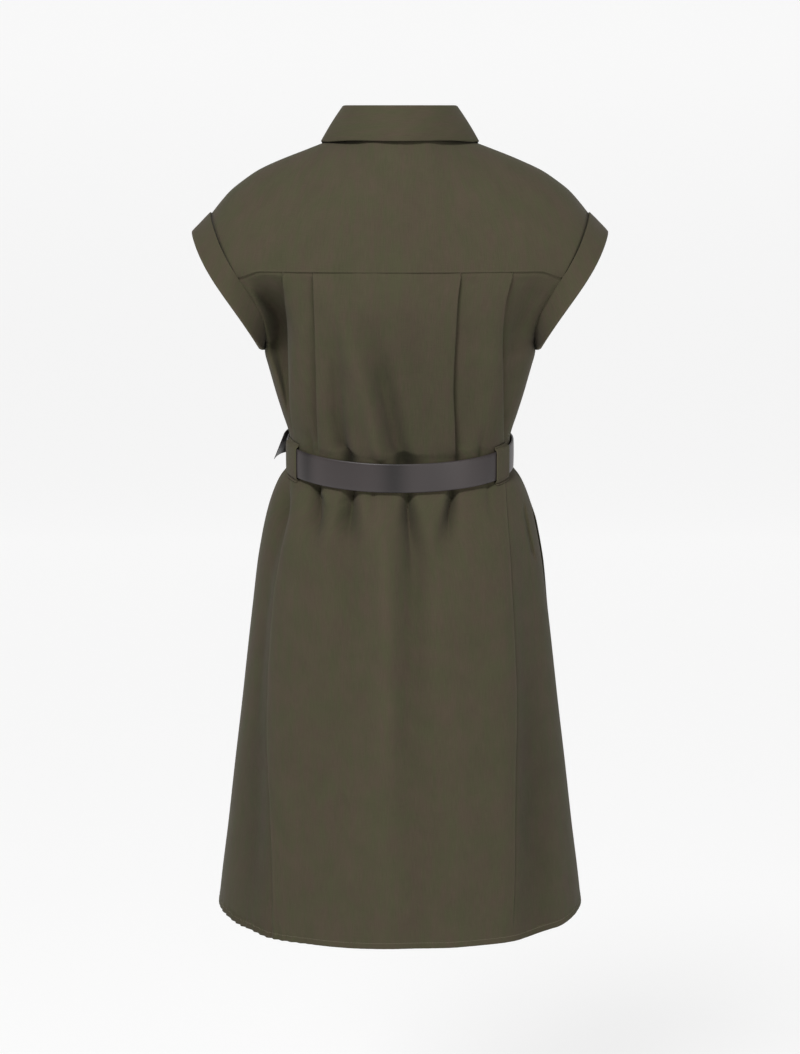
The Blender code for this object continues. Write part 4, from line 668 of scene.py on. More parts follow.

# painted shade where the cloth turns away: outside the side folds of the skirt and at the waist,
# and painted shadow where the folds go in behind the belt
SHADES: tuple[Fold, ...] = (
    *folds(
        Side.BACK, Shape.FLAT,
        ((-440, 146, 5, 0.0), (-480, 148, 5, -0.2), (-560, 160, 6, -0.35), (-654, 169, 9, -0.5),
         (-747, 173, 16, -0.6), (-830, 173, 19, -0.55), (-938, 171, 19, -0.45)),
        ((-600, -154, 14, 0.0), (-654, -157, 17, -0.3), (-747, -160, 22, -0.65), (-830, -161, 23, -0.6),
         (-938, -159, 24, -0.45)),
    ),
    *folds(
        Side.BACK, Shape.SOFT,
        ((-165, 10, 110, 0.0), (-230, 0, 115, -0.5), (-340, 0, 115, -0.6), (-358, 0, 115, 0.0)),
        ((-336, 65, 3, 0.0), (-346, 63, 4, -1.4), (-354, 61, 6, -2.6), (-384, 61, 6, -2.6)),
        ((-338, 5, 4, 0.0), (-346, 0, 6, -1.2), (-354, -10, 13, -2.6), (-384, -10, 13, -2.6)),
        ((-340, -67, 3, 0.0), (-350, -68, 4, -1.6), (-384, -68, 5, -2.0)),
    ),
)

# columns beside a pleat's edge, inside to outside: place on flat cloth, place when folded, layer
PLEAT_COLUMNS: Rows = (
    (-6.5, -6.5, 1.0), (-3.8, -3.6, 1.0), (-2.3, -1.9, 1.0), (-1.4, -0.8, 1.0), (-0.8, -0.1, 0.9),
    (-0.3, 0.3, 0.5), (0.0, -0.1, 0.0), (0.4, -1.1, -0.7), (0.9, -1.8, -1.2), (1.5, -0.8, -1.55),
    (2.2, 0.7, -1.6), (3.2, 2.1, -1.3), (4.7, 4.2, -1.05), (6.5, 6.5, -1.0),
)
# strength of the painted highlight on the pleats' edges, by height
PLEAT_PAINTED_HIGHLIGHT: Rows = ((-149, 0.4), (-352, 0.4), (-389, 0.0), (-403, 0.9), (-700, 1.0), (-860, 0.8),
                     (-925, 0.0))


@dataclass(frozen=True)
class Pleat:
    """A pressed knife pleat of the back.

    Attributes:
        line: Height and distance from the middle of its edge.
        outward: +1 if the edge faces the wearer's left, -1 if the right.
        rises: Height and step.
        painted_shading: Strength of the painted highlight on its pressed edge.
        sink: Share of the step by which the lower layer lies under the form.
        reach: Distance over which the step fades out beside the edge.
        edge: Half width of the edge itself.
    """

    line: Rows
    outward: int
    rises: Rows
    painted_shading: float
    sink: float = 0.28
    reach: float = 24.0
    edge: float = 1.3

    def rise(self, across: Array, height: Array, layer: Array | None = None) -> Array:
        """Rise of the cloth near the pleat.

        Args:
            across: Distances from the middle.
            height: Heights.
            layer: 1 on the upper layer, -1 on the lower, or None to go by the line.

        Returns:
            The rise.
        """
        step = np.where(height > self.rises[-1][0], Curve(self.rises)(height), 0.0)
        past = (across - Curve(self.line)(height)) * self.outward
        if layer is None:
            layer = 1.0 - 2.0 * smooth_step(past, -self.edge, self.edge)
        near = peak(np.maximum(np.abs(past) - self.edge, 0.0), 0.0, self.reach)
        return step * (layer * (1.0 - self.sink) - self.sink) * near


PLEATS: dict[str, Pleat] = {
    name: Pleat(BACK_LINES[name], outward, rises, 1.0 if name.endswith("side") else 0.7)
    for name, (outward, rises) in BACK_PLEATS.items()
}


@dataclass(frozen=True)
class Drape:
    """How the cloth lies over the form: folds, creases, the pocket's mouth and slack.

    Attributes:
        gape: How far it gapes.
        back_share: Share of the gape that the back's edge takes, inwards.
        front_share: Share that the front's edge takes, outwards.
        mouth_reach: Distance from the side seam over which the gape fades out.
        slack_waves: Size, seed and share of each set of waves.
        hollow_shade: Painted shade for each millimetre that the cloth sinks, and painted highlight for each
            that it rises.
        shade_limits: Rises beyond which the painted shade and highlight change no more.
        sleeve_reach: Distance from a sleeve opening at which the cloth is free.
    """

    form: DressForm = FORM
    mouth_ramps: tuple[Ramp, Ramp] = ((-577.0, -495.0), (-455.0, -430.0))
    gape: float = 4.5
    back_share: float = -0.12
    front_share: float = 0.16
    mouth_reach: float = 9.0
    slack: float = 0.42
    slack_waves: tuple[tuple[float, int, float], ...] = ((62.0, 3, 1.0), (24.0, 7, 0.55))
    hollow_shade: float = 0.055
    shade_limits: Ramp = (-14.0, 6.0)
    underarm_ramp: Ramp = (-14.0, 8.0)
    sleeve_reach: float = 13.0
    seam_reach: float = 16.0
    groove_reach: float = 11.0

    def beside_sleeve(self, height: Array) -> Array:
        """0 below the underarm and 1 beside the sleeve openings."""
        low, high = self.underarm_ramp
        return smooth_step(height, self.form.underarm + low, self.form.underarm + high)

    def off_sleeve(self, across: Array, height: Array, reach: float) -> Array:
        """0 at a sleeve opening, and 1 from a distance away from it and below it."""
        away = smooth_step(self.form.arm_across(height) - np.abs(across), 1.0, reach)
        return 1.0 - self.beside_sleeve(height) * (1.0 - away)

    def held(self, across: Array, height: Array) -> Array:
        """0 at a sleeve opening or a side seam, which hold the cloth, and 1 away from them."""
        seam = smooth_step(self.form.width(height) - np.abs(across), 0.0, self.seam_reach)
        below = 1.0 - self.beside_sleeve(height)
        return self.off_sleeve(across, height, self.sleeve_reach) * (1.0 - below * (1.0 - seam))

    def mouth(self, height: Array) -> Array:
        """How far the right pocket's mouth is open at a height, 0 to 1."""
        return window(height, *self.mouth_ramps)

    def rise(self, side: Side, across: Array, height: Array, plain: bool = False) -> Array:
        """Rise of the cloth over the form, without its pleats.

        Args:
            side: Side of the body.
            across: Distances from the middle.
            height: Heights.
            plain: Whether to leave the fine creases out.

        Returns:
            The rise.
        """
        shapes = SOFT_FOLDS if plain else SOFT_FOLDS + CREASES
        total = sum(fold.rise(across, height) for fold in shapes if fold.side is side)
        total = total * self.held(across, height)
        near = peak(self.form.width(height) - np.abs(across), 0.0, self.mouth_reach)
        share = self.back_share if side is Side.BACK else self.front_share
        return total + np.where(across < 0.0, self.gape * share * near * self.mouth(height), 0.0)

    def groove(self, across: Array, height: Array) -> Array:
        """Depth of the back's grooves, straight in from behind, and none at a sleeve opening."""
        depth = sum(fold.rise(across, height) for fold in GROOVES)
        return self.off_sleeve(across, height, self.groove_reach) * depth

    def shade(self, across: Array, height: Array) -> Array:
        """Painted shade (below 0) in the back's hollows and at SHADES, and painted highlight on its ridges.
        """
        hollow = np.clip(self.rise(Side.BACK, across, height), *self.shade_limits) * self.hollow_shade
        return hollow + sum(fold.rise(across, height) for fold in SHADES)

    def slackness(self, points: Array, height: Array) -> Array:
        """Slight unevenness of cloth that hangs free, none under the belt."""
        free = 1.0 - window(height, *BELT_RAMPS)
        height = sum(share * waves(points, size, seed) for size, seed, share in self.slack_waves)
        return self.slack * free * height


DRAPE = Drape()


# ---------------------------------------------------------------- meshes
# mesh attribute of painted light and shade: painted highlights on folded edges, painted shade in hollows
PAINTED_SHADING = "painted_shading"
CLOTH_MAP = "cloth"
FACING = "facing"


def add_object(name: str, data: bpy.types.ID) -> Thing:
    """Put a new object into the scene."""
    thing = bpy.data.objects.new(name, data)
    bpy.context.scene.collection.objects.link(thing)
    return thing


def corners(grid: Array) -> Array:
    """The four corners of each face of a grid."""
    return np.stack((grid[:-1, :-1], grid[1:, :-1], grid[1:, 1:], grid[:-1, 1:]), axis=2)


def cloth_places(points: Array) -> Array:
    """Each point's place on the flat cloth in metres, from its distances along rows and columns."""
    around = np.linalg.norm(np.diff(points, axis=1), axis=2).cumsum(axis=1)
    down = np.linalg.norm(np.diff(points, axis=0), axis=2).cumsum(axis=0)
    u = np.concatenate((np.zeros((len(points), 1)), around), axis=1)
    v = np.concatenate((np.zeros((1, points.shape[1])), down), axis=0)
    u -= u[:, u.shape[1] // 2][:, None]
    return np.stack((u, -v), axis=-1) * MM


@dataclass
class Surface:
    """Rows of points that make one piece of a surface.

    Attributes:
        points: Rows by columns by 3, in millimetres.
        outward: For each point, a vector on the side that faces out.
        closed: Whether each row is a loop.
        painted_shading: Painted light and shade of each point: above 0 a painted highlight, below 0 painted
            shade.
        ring: Whether the last row joins the first.
        capped: Whether the loops at both ends are filled.
    """

    points: Array
    outward: Array
    closed: bool = False
    painted_shading: Array | None = None
    ring: bool = False
    capped: bool = False

    def build(self, name: str, material: Material, thick: float = 0.0) -> Thing:
        """Make the mesh object, with its texture map in metres.

        Args:
            name: Name of the piece.
            material: Its finish.
            thick: Thickness in millimetres, added inwards.

        Returns:
            The object, at the origin.
        """
        rows, columns = self.points.shape[:2]
        index = np.arange(rows * columns).reshape(rows, columns)
        wide = self.points
        if self.closed:
            index = np.concatenate((index, index[:, :1]), axis=1)
            wide = np.concatenate((wide, wide[:, :1]), axis=1)
        if self.ring:
            index = np.concatenate((index, index[:1]), axis=0)
            wide = np.concatenate((wide, wide[:1]), axis=0)
        quads = corners(index)
        normal = np.cross(wide[1:, :-1] - wide[:-1, :-1], wide[:-1, 1:] - wide[:-1, :-1])
        hint = self.outward[: normal.shape[0], : normal.shape[1]]
        backwards = float(np.sum(normal * hint)) < 0.0
        places = cloth_places(wide)
        maps = corners(places)
        if backwards:
            quads, maps = quads[:, :, ::-1], maps[:, :, ::-1]
        faces = quads.reshape(-1, 4)
        maps = maps.reshape(-1, 4, 2)
        if self.capped:
            half = columns // 2
            for row, turned in ((0, backwards), (rows - 1, not backwards)):
                ends = index[row]
                cap = np.stack((ends[: half - 1], ends[1:half], ends[columns - 2 : half - 1 : -1],
                                ends[columns - 1 : half : -1]), axis=1)
                cap = cap[:, ::-1] if turned else cap
                faces = np.concatenate((faces, cap))
                maps = np.concatenate((maps, np.zeros((len(cap), 4, 2)) + places[row, 0]))
        mesh = bpy.data.meshes.new(name)
        mesh.from_pydata((self.points.reshape(-1, 3) * MM).tolist(), [], faces.tolist())
        layer = mesh.uv_layers.new(name=CLOTH_MAP)
        layer.data.foreach_set("uv", maps.reshape(-1).astype(np.float32))
        painted_shading = np.zeros(rows * columns) if self.painted_shading is None else self.painted_shading.reshape(-1)
        mesh.attributes.new(PAINTED_SHADING, "FLOAT", "POINT").data.foreach_set("value", painted_shading.astype(np.float32))
        mesh.shade_smooth()
        mesh.materials.append(material)
        thing = add_object(name, mesh)
        if thick > 0.0:
            wall = thing.modifiers.new("thickness", "SOLIDIFY")
            wall.thickness = thick * MM
            wall.offset = -1.0
        return thing


def steps_down(*runs: Triple) -> Array:
    """Heights from runs of a top, a bottom and a spacing."""
    heights = [np.arange(top, bottom, -space) for top, bottom, space in runs]
    return np.concatenate((*heights, [runs[-1][1]]))


def hem_rows(edge: Array, normal: Array) -> list[Array]:
    """Rows of points by which a cloth turns in and up from its lowest row."""
    return [(edge - normal * inset + UP * up)[None] for inset, up in HEM_TURN]


def place_piece(thing: Thing, slot: Slot, *nodes: str) -> Thing:
    """Let a piece ride on the dress and stand for its solids.

    Args:
        thing: The piece.
        slot: Material slot of its finish; not used.
        nodes: Solids that it stands for.

    Returns:
        The piece.
    """
    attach(thing, "root")
    if nodes:
        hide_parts(*nodes)
    LOG.info("%s: %d faces", thing.name, len(thing.data.polygons))
    return thing


# ---------------------------------------------------------------- cloth pieces
@dataclass
class BackPanel:
    """The back, in one length from under the yoke's edge to the hem.

    Attributes:
        seam_lap: How far it goes up under the yoke.
        seam_ramps: Distances below the yoke between which the seam's dip ends, the back comes up to
            the form, and its folds begin.
        counts: Columns between the pleats.
        edge_room: Room beside a sleeve opening that keeps a pleat's columns their full width.
        edge_share: Share of the way to the side from which a column counts as the edge.
        hem_proud: How far the band stands out.
        stitch_pull: How far they draw it in.
        pucker: Height of the hem's puckers on the left.
        ripple: Height of its ripples all along.
        waves: How close the puckers and ripples are, and how uneven.
        pleat_light: Middle and half width of the painted highlight on a pleat's folded edge.
    """

    form: DressForm = FORM
    drape: Drape = DRAPE
    thick: float = 0.75
    seam_lap: float = 4.0
    seam_drop: float = 0.95
    seam_ramps: tuple[Ramp, Ramp, Ramp] = ((2.0, 30.0), (0.6, 5.0), (-1.0, 12.0))
    seam_rows: tuple[float, ...] = (-147.2, -148.8, -149.8, -150.8, -152.2, -154.2)
    runs: tuple[Triple, ...] = (
        (-157.0, -338.0, 3.6), (-340.0, -356.0, 1.8), (-360.0, -384.0, 8.0), (-387.0, -402.0, 1.7),
        (-404.0, -520.0, 3.3), (-524.0, -918.0, 7.6), (-921.0, -936.4, 1.4))
    counts: tuple[int, ...] = (38, 18, 78, 10, 30)
    edge_room: float = 14.0
    edge_share: float = 0.999
    hem_band: Ramp = (8.0, 11.5)
    hem_proud: float = 0.45
    stitch_line: float = 6.8
    stitch_width: float = 1.3
    stitch_pull: float = 0.7
    stitch_lift: float = 0.25
    pucker: float = 1.3
    pucker_ramps: tuple[Ramp, Ramp] = ((0.55, 0.85), (1.25, 1.5))
    pucker_reach: float = 9.0
    ripple: float = 0.12
    waves: Triple = (118.0, 0.9, 21.0)
    # painted highlight along the hem's stitch line, and strength of the painted highlight on the pleats'
    # edges
    hem_painted_highlight: float = 0.55
    pleat_painted_highlight: float = 0.7
    pleat_light: Pair = (-0.6, 1.6)

    def angles(self, height: Array) -> tuple[Array, dict[str, slice]]:
        """Ring angles of the columns at each height, and each pleat's columns."""
        edge = self.form.ring_sizes(Side.BACK, height)[2]
        places: dict[str, slice] = {}
        blocks = []
        for name, pleat in PLEATS.items():
            line = Curve(pleat.line)(height)
            room = np.sin(edge) * self.form.ring_sizes(Side.BACK, height)[0] - np.abs(line)
            fold = np.clip(Curve(pleat.rises)(height), 0.0, 1.0) * (height > pleat.rises[-1][0])
            block = []
            for flat, folded, _ in PLEAT_COLUMNS[:: pleat.outward]:
                past = flat + (folded - flat) * fold
                limit = np.minimum(1.0, room / self.edge_room) if past.mean() > 0.0 else 1.0
                across = line + pleat.outward * past * limit
                block.append(self.form.ring_angle(Side.BACK, across, height))
            blocks.append((name, block))
        columns: list[Array] = []
        before = -edge
        for (name, block), count in zip(blocks, self.counts):
            first = 1 if columns else 0
            columns.extend(before + (block[0] - before) * step / count for step in range(first, count))
            places[name] = slice(len(columns), len(columns) + len(block))
            columns.extend(block)
            before = block[-1]
        last = self.counts[-1]
        columns.extend(before + (edge - before) * (step + 1) / last for step in range(last))
        return np.stack(columns, axis=1), places

    def heights(self) -> Array:
        """Heights of the rows."""
        top = self.form.yoke_level + self.seam_lap
        return np.concatenate(((top,), self.seam_rows, steps_down(*self.runs)))

    def rise(self, across: Array, height: Array, places: dict[str, slice]) -> Array:
        """Rise of the cloth on the panel's own columns."""
        total = self.drape.rise(Side.BACK, across, height)
        held = self.drape.held(across, height)
        for name, pleat in PLEATS.items():
            layer = np.empty(across.shape[1])
            block = places[name]
            ordered = [row[2] for row in PLEAT_COLUMNS[:: pleat.outward]]
            layer[: block.start] = ordered[0]
            layer[block] = ordered
            layer[block.stop :] = ordered[-1]
            total = total + pleat.rise(across, height, layer[None, :]) * held
        return total

    def hem_form(self, height: Array, points: Array) -> Array:
        """The hem stands a little proud, is drawn in at its stitches and puckers on the left."""
        above = height - self.form.hem
        band = 1.0 - smooth_step(above, *self.hem_band)
        stitched = peak(above, self.stitch_line, self.stitch_width)
        angle = np.arctan2(points[..., 0], points[..., 1])
        size = self.pucker * window(angle, *self.pucker_ramps) + self.ripple
        close, uneven, slow = self.waves
        waviness = np.sin(angle * close + uneven * np.sin(angle * slow))
        fade = peak(np.maximum(above - self.stitch_line, 0.0), 0.0, self.pucker_reach)
        return self.hem_proud * band - self.stitch_pull * stitched + size * waviness * fade

    def painted_light_and_shade(self, across: Array, height: Array, level: Array, places: dict[str, slice]) -> Array:
        """Painted light and shade of the outer face: how much paler or darker it is painted.

        Args:
            across: Distances from the middle.
            height: Heights of the rows.
            level: Heights after the yoke seam's dip.
            places: Each pleat's columns.

        Returns:
            Painted shade below 0 in hollows, painted highlight above on pleats and the hem's stitches.
        """
        # painted shade in the hollows and painted highlight on the ridges
        painted_light_and_shade = self.drape.shade(across, np.broadcast_to(level, across.shape))
        # painted highlight along the hem's stitch line
        painted_light_and_shade += self.hem_painted_highlight * peak(height - self.form.hem, self.stitch_line, self.stitch_width)
        # painted highlight on each pleat's upper folded edge
        for name, pleat in PLEATS.items():
            folded, layer = np.array(PLEAT_COLUMNS[:: pleat.outward])[:, 1:].T
            lit = np.where(layer > 0.0, peak(folded, *self.pleat_light), 0.0)
            strength = Curve(PLEAT_PAINTED_HIGHLIGHT)(height) * pleat.painted_shading * (height > pleat.rises[-1][0])
            painted_light_and_shade[:, places[name]] += strength * lit[None, :] * self.pleat_painted_highlight
        return painted_light_and_shade

    def build(self, material: Material) -> Thing:
        """Make the back."""
        height = self.heights()[:, None]
        angle, places = self.angles(height[:, 0])
        edge = self.form.ring_sizes(Side.BACK, height)[2]
        across = self.form.ring_point(Side.BACK, angle, height)[..., 0]
        below = self.form.yoke_level - height
        dip_ramp, drop_ramp, fold_ramp = self.seam_ramps
        level = height + self.form.seam_dip(across) * (1.0 - smooth_step(below, *dip_ramp))
        angle = angle * self.form.ring_sizes(Side.BACK, level)[2] / edge
        base = self.form.around(angle, level)
        normal = self.form.around_normal(angle, level)
        across = base[..., 0]
        under_yoke = -self.seam_drop * (1.0 - smooth_step(below, *drop_ramp))
        rise = self.rise(across, np.broadcast_to(level, across.shape), places)
        rise = rise * smooth_step(below, *fold_ramp) + under_yoke
        rise = rise + self.drape.slackness(base, level) * self.drape.held(across, level)
        rise = rise + self.hem_form(height, base)
        at_edge = np.abs(angle) > np.abs(edge) * self.edge_share
        rise = rise - SIDE_ROLL * (at_edge & (height < self.form.underarm))
        outer = base + normal * rise[..., None]
        outer[..., 1] -= self.drape.groove(across, np.broadcast_to(level, across.shape))
        points = np.concatenate((outer, *hem_rows(outer[-1], normal[-1])))
        painted_shading = np.zeros(points.shape[:2])
        painted_shading[: len(outer)] = self.painted_light_and_shade(across, height, level, places)
        outward = np.concatenate((normal, np.repeat(normal[-1:], len(points) - len(normal), axis=0)))
        return Surface(points, outward, painted_shading=painted_shading).build("back_panel", material, self.thick)

    def hem_path(self) -> tuple[Array, Array]:
        """Points and normals along the hem's stitches."""
        height = np.full((1, 1), self.form.hem + self.stitch_line)
        angle, places = self.angles(height[:, 0])
        base = self.form.around(angle, height)
        normal = self.form.around_normal(angle, height)
        rise = self.rise(base[..., 0], np.broadcast_to(height, angle.shape), places)
        rise = rise + self.drape.slackness(base, height) + self.hem_form(height, base) + self.stitch_lift
        return (base + normal * rise[..., None])[0], normal[0]


@dataclass
class FrontPanel:
    """A front, from the shoulder seam to the hem.

    Attributes:
        hand: +1 for the wearer's left front, -1 for the right.
        closure: Distances from the middle of its last columns.
        underlap: How much lower it lies under the button band.
        corner_share: Share of its columns from the sleeve to the neck's corner.
        closure_start: Distance from the middle where the columns of the closure begin.
        band_ramp: Distances from the middle between which it comes up from under the band.
        pocket_lap: How far the right front laps over the back at the pocket's mouth.
        lap_rise: How far the lapping edge stands out.
        seam_lap: How far the front goes up under the yoke.
        hem_line: Points and normals along the hem's stitches, once it is built.
    """

    name: str
    hand: int
    closure: tuple[float, ...]
    underlap: float
    form: DressForm = FORM
    drape: Drape = DRAPE
    thick: float = 0.75
    count: int = 84
    corner_share: float = 2.0 / 3.0
    closure_start: float = 29.0
    upper_rows: int = 44
    band_ramp: Ramp = (16.0, 29.0)
    pocket_lap: float = 3.0
    lap_rise: float = 0.8
    lap_ramp: Ramp = (6.0, 16.0)
    seam_lap: float = 2.0
    seam_drop: float = 0.9
    seam_share: float = 0.06
    slack: Pair = (0.25, 48.0)
    runs: tuple[Triple, ...] = (
        (-165.0, -340.0, 3.2), (-341.0, -352.0, 1.9), (-357.0, -385.0, 9.0), (-389.0, -402.0, 1.8),
        (-404.0, -520.0, 3.4), (-524.0, -918.0, 6.0), (-921.0, -936.4, 1.5))
    stitch_row: int = -5
    stitch_lift: float = 0.1
    hem_line: tuple[Array, Array] = field(init=False)

    def tops(self, share: Array) -> tuple[Array, Array]:
        """Distance from the middle and turn of the upper edge, from the sleeve to the closure."""
        form = self.form
        corner, corner_x = form.neck_corner()
        outer = form.edge_across(-form.arch_turn(Side.FRONT, form.sleeve_top, form.front_seam_y))
        along = np.minimum(share / self.corner_share, 1.0)
        seam_x = outer + (corner_x - outer) * along
        seam_turn = form.arch_turn(Side.FRONT, seam_x, form.front_seam_y + self.seam_lap)
        last = math.pi - math.asin(self.closure_start / form.neck_half_width)
        rest = np.clip((share - self.corner_share) / (1.0 - self.corner_share), 0.0, 1.0)
        neck_x, neck_turn = form.neck_place(corner + (last - corner) * rest)
        before = share <= self.corner_share
        return np.where(before, seam_x, neck_x), np.where(before, seam_turn, np.abs(neck_turn))

    def rise(self, across: Array, height: Array) -> Array:
        """Rise of this front's cloth."""
        total = self.drape.rise(Side.FRONT, across, height)
        return total - self.underlap * (1.0 - smooth_step(across * self.hand, *self.band_ramp))

    def side_reach(self, height: Array) -> Array:
        """How far the right front laps over the back at the pocket's mouth, in millimetres."""
        if self.hand > 0:
            return np.zeros(np.shape(height))
        return self.pocket_lap * self.drape.mouth(height)

    def over_chest(self, share: Array, feet: Array) -> tuple[Array, Array]:
        """The part from the shoulder seam and the neckline down to the chest.

        Args:
            share: Share of the way from the sleeve to the closure, for the columns before it.
            feet: Distances from the middle at which all columns meet the part below.

        Returns:
            Points and outward normals.
        """
        form, hand = self.form, self.hand
        closure = np.array(self.closure)
        top_x, top_turn = self.tops(share)
        neck_angle = math.pi - np.arcsin(closure / form.neck_half_width)
        top_x = np.concatenate((top_x, closure))
        top_turn = np.concatenate((top_turn, np.abs(form.neck_place(neck_angle)[1])))
        part = (np.arange(self.upper_rows) / self.upper_rows)[:, None]
        rims = -(top_turn[0] + (math.pi / 2 - top_turn[0]) * part)
        drift = form.edge_across(rims) - (top_x[0] + (feet[0] - top_x[0]) * part)
        pull = np.maximum(1.0 - np.arange(len(top_x)) / (len(share) - 1.0), 0.0) ** 4
        turn = top_turn + (math.pi / 2 - top_turn) * part
        across = hand * (top_x + (feet - top_x) * part + drift * pull)
        arch = form.arch_point(Side.FRONT, across, turn)
        normal = form.shoulder_normal(across, -turn)
        rise = self.rise(across, arch[..., 2])
        rise = rise - self.seam_drop * (1.0 - smooth_step(part, 0.0, self.seam_share))
        size, length = self.slack
        rise = rise + size * waves(arch, length, 5) * smooth_step(part, 0.0, 0.2)
        return arch + normal * rise[..., None], normal

    def build(self, material: Material, hem: Callable[[Array, Array], Array]) -> Thing:
        """Make the front.

        Args:
            material: The cloth.
            hem: Form of the hem by height and points.

        Returns:
            The piece.
        """
        form, hand = self.form, self.hand
        share = np.concatenate((np.linspace(0.0, self.corner_share, self.count * 2 // 3 + 1),
                                np.linspace(self.corner_share, 1.0, self.count // 3 + 1)[1:]))
        height = steps_down(*self.runs)[:, None]
        edge = form.ring_sizes(Side.FRONT, height)[2]
        edge = edge + self.side_reach(height) / form.width(height)
        last = form.ring_angle(Side.FRONT, self.closure_start, height)
        angle = np.concatenate((edge + (last - edge) * share[None, :],
                                form.ring_angle(Side.FRONT, np.array((self.closure,)), height)), axis=1)
        full = hand * (math.pi - angle)
        base = form.around(full, height)
        normal = form.around_normal(full, height)
        rise = self.rise(base[..., 0], np.broadcast_to(height, angle.shape))
        near_edge = 1.0 - smooth_step(np.abs(angle - edge) * form.width(height), *self.lap_ramp)
        outside = near_edge * (self.side_reach(height) / self.pocket_lap)
        slack = self.drape.slackness(base, height) * self.drape.held(base[..., 0], height)
        rise = rise + outside * self.lap_rise + hem(height, base) + slack
        rise[:, :1] -= SIDE_ROLL * (height < form.underarm)
        lower = base + normal * rise[..., None]
        feet = hand * form.around(full[:1], form.chest_level)[0, :, 0]
        upper, upper_normal = self.over_chest(share, feet)
        points = np.concatenate((upper, lower, *hem_rows(lower[-1], normal[-1])))
        outward = np.concatenate((upper_normal, normal, np.repeat(normal[-1:], len(HEM_TURN), axis=0)))
        line, line_normal = lower[self.stitch_row], normal[self.stitch_row]
        self.hem_line = (line + line_normal * self.stitch_lift, line_normal)
        return Surface(points, outward).build(self.name, material, self.thick)


@dataclass
class Yoke:
    """The yoke over the shoulders, its lower edge turned under on the back.

    Attributes:
        neck_share: Share of its columns that end at the neckline.
        rim_level: Height at which its lower corners meet the sleeve openings.
        first_rows: Shares of the way up of its first rows.
        edge_lift: How far its lower edge stands out.
        turned: Inset and rise of the rows that turn under its lower edge.
    """

    form: DressForm = FORM
    thick: float = 0.8
    columns: int = 150
    rows: int = 64
    neck_share: float = 0.42
    rim_level: float = -155.2
    first_rows: tuple[float, ...] = (0.0, 0.004, 0.009)
    edge_lift: float = 0.35
    edge_share: float = 0.12
    slack: Pair = (0.22, 70.0)
    turned: Rows = ((1.6, 2.5), (1.5, 0.2), (0.9, -0.25), (0.35, -0.2))
    painted_shading: float = 0.35

    def build(self, material: Material) -> Thing:
        """Make the yoke."""
        form = self.form
        corner, corner_x = form.neck_corner()
        top_turn = -float(form.arch_turn(Side.FRONT, form.sleeve_top, form.front_seam_y))
        width = float(form.arm_across(self.rim_level))
        place = np.linspace(-width, width, self.columns + 1)[None, :]
        share, hand = np.abs(place) / width, np.where(place < 0.0, -1.0, 1.0)
        neck_x, neck_turn = form.neck_place(corner * np.minimum(share / self.neck_share, 1.0))
        reach = np.maximum(share - self.neck_share, 0.0) / (1.0 - self.neck_share)
        seam_x = corner_x + (float(form.edge_across(top_turn)) - corner_x) * reach
        seam_turn = -form.arch_turn(Side.FRONT, seam_x, form.front_seam_y)
        inside = share <= self.neck_share
        end_x, end_turn = np.where(inside, neck_x, seam_x), np.where(inside, neck_turn, seam_turn)
        part = np.linspace(0.0, 1.0, self.rows + 1)
        part = np.concatenate((self.first_rows, part[1:]))[:, None]
        foot = np.abs(place)
        foot_turn = math.pi / 2 - form.seam_dip(foot) / form.arch_foot
        turn = foot_turn + (end_turn - foot_turn) * part
        rim_turn = foot_turn[:, :1] + (top_turn - foot_turn[:, :1]) * part
        drift = form.edge_across(rim_turn) - (width + (float(form.edge_across(top_turn)) - width) * part)
        across = hand * (foot + (end_x - foot) * part + drift * share**5)
        base = form.shoulder_point(across, turn)
        normal = form.shoulder_normal(across, turn)
        lift = self.edge_lift * (1.0 - smooth_step(part, 0.0, self.edge_share))
        size, length = self.slack
        lift = lift + size * waves(base, length, 11) * smooth_step(part, 0.02, 0.2)
        points = base + normal * lift[..., None]
        under = [(points[0] - normal[0] * inset + UP * up)[None] for inset, up in self.turned]
        points = np.concatenate((*under, points))
        outward = np.concatenate((np.repeat(normal[:1], len(under), axis=0), normal))
        painted_shading = np.zeros(points.shape[:2])
        # painted highlight along the yoke's turned lower edge
        painted_shading[len(under) - 1 : len(under) + 2] = self.painted_shading
        return Surface(points, outward, painted_shading=painted_shading).build("yoke_panel", material, self.thick)


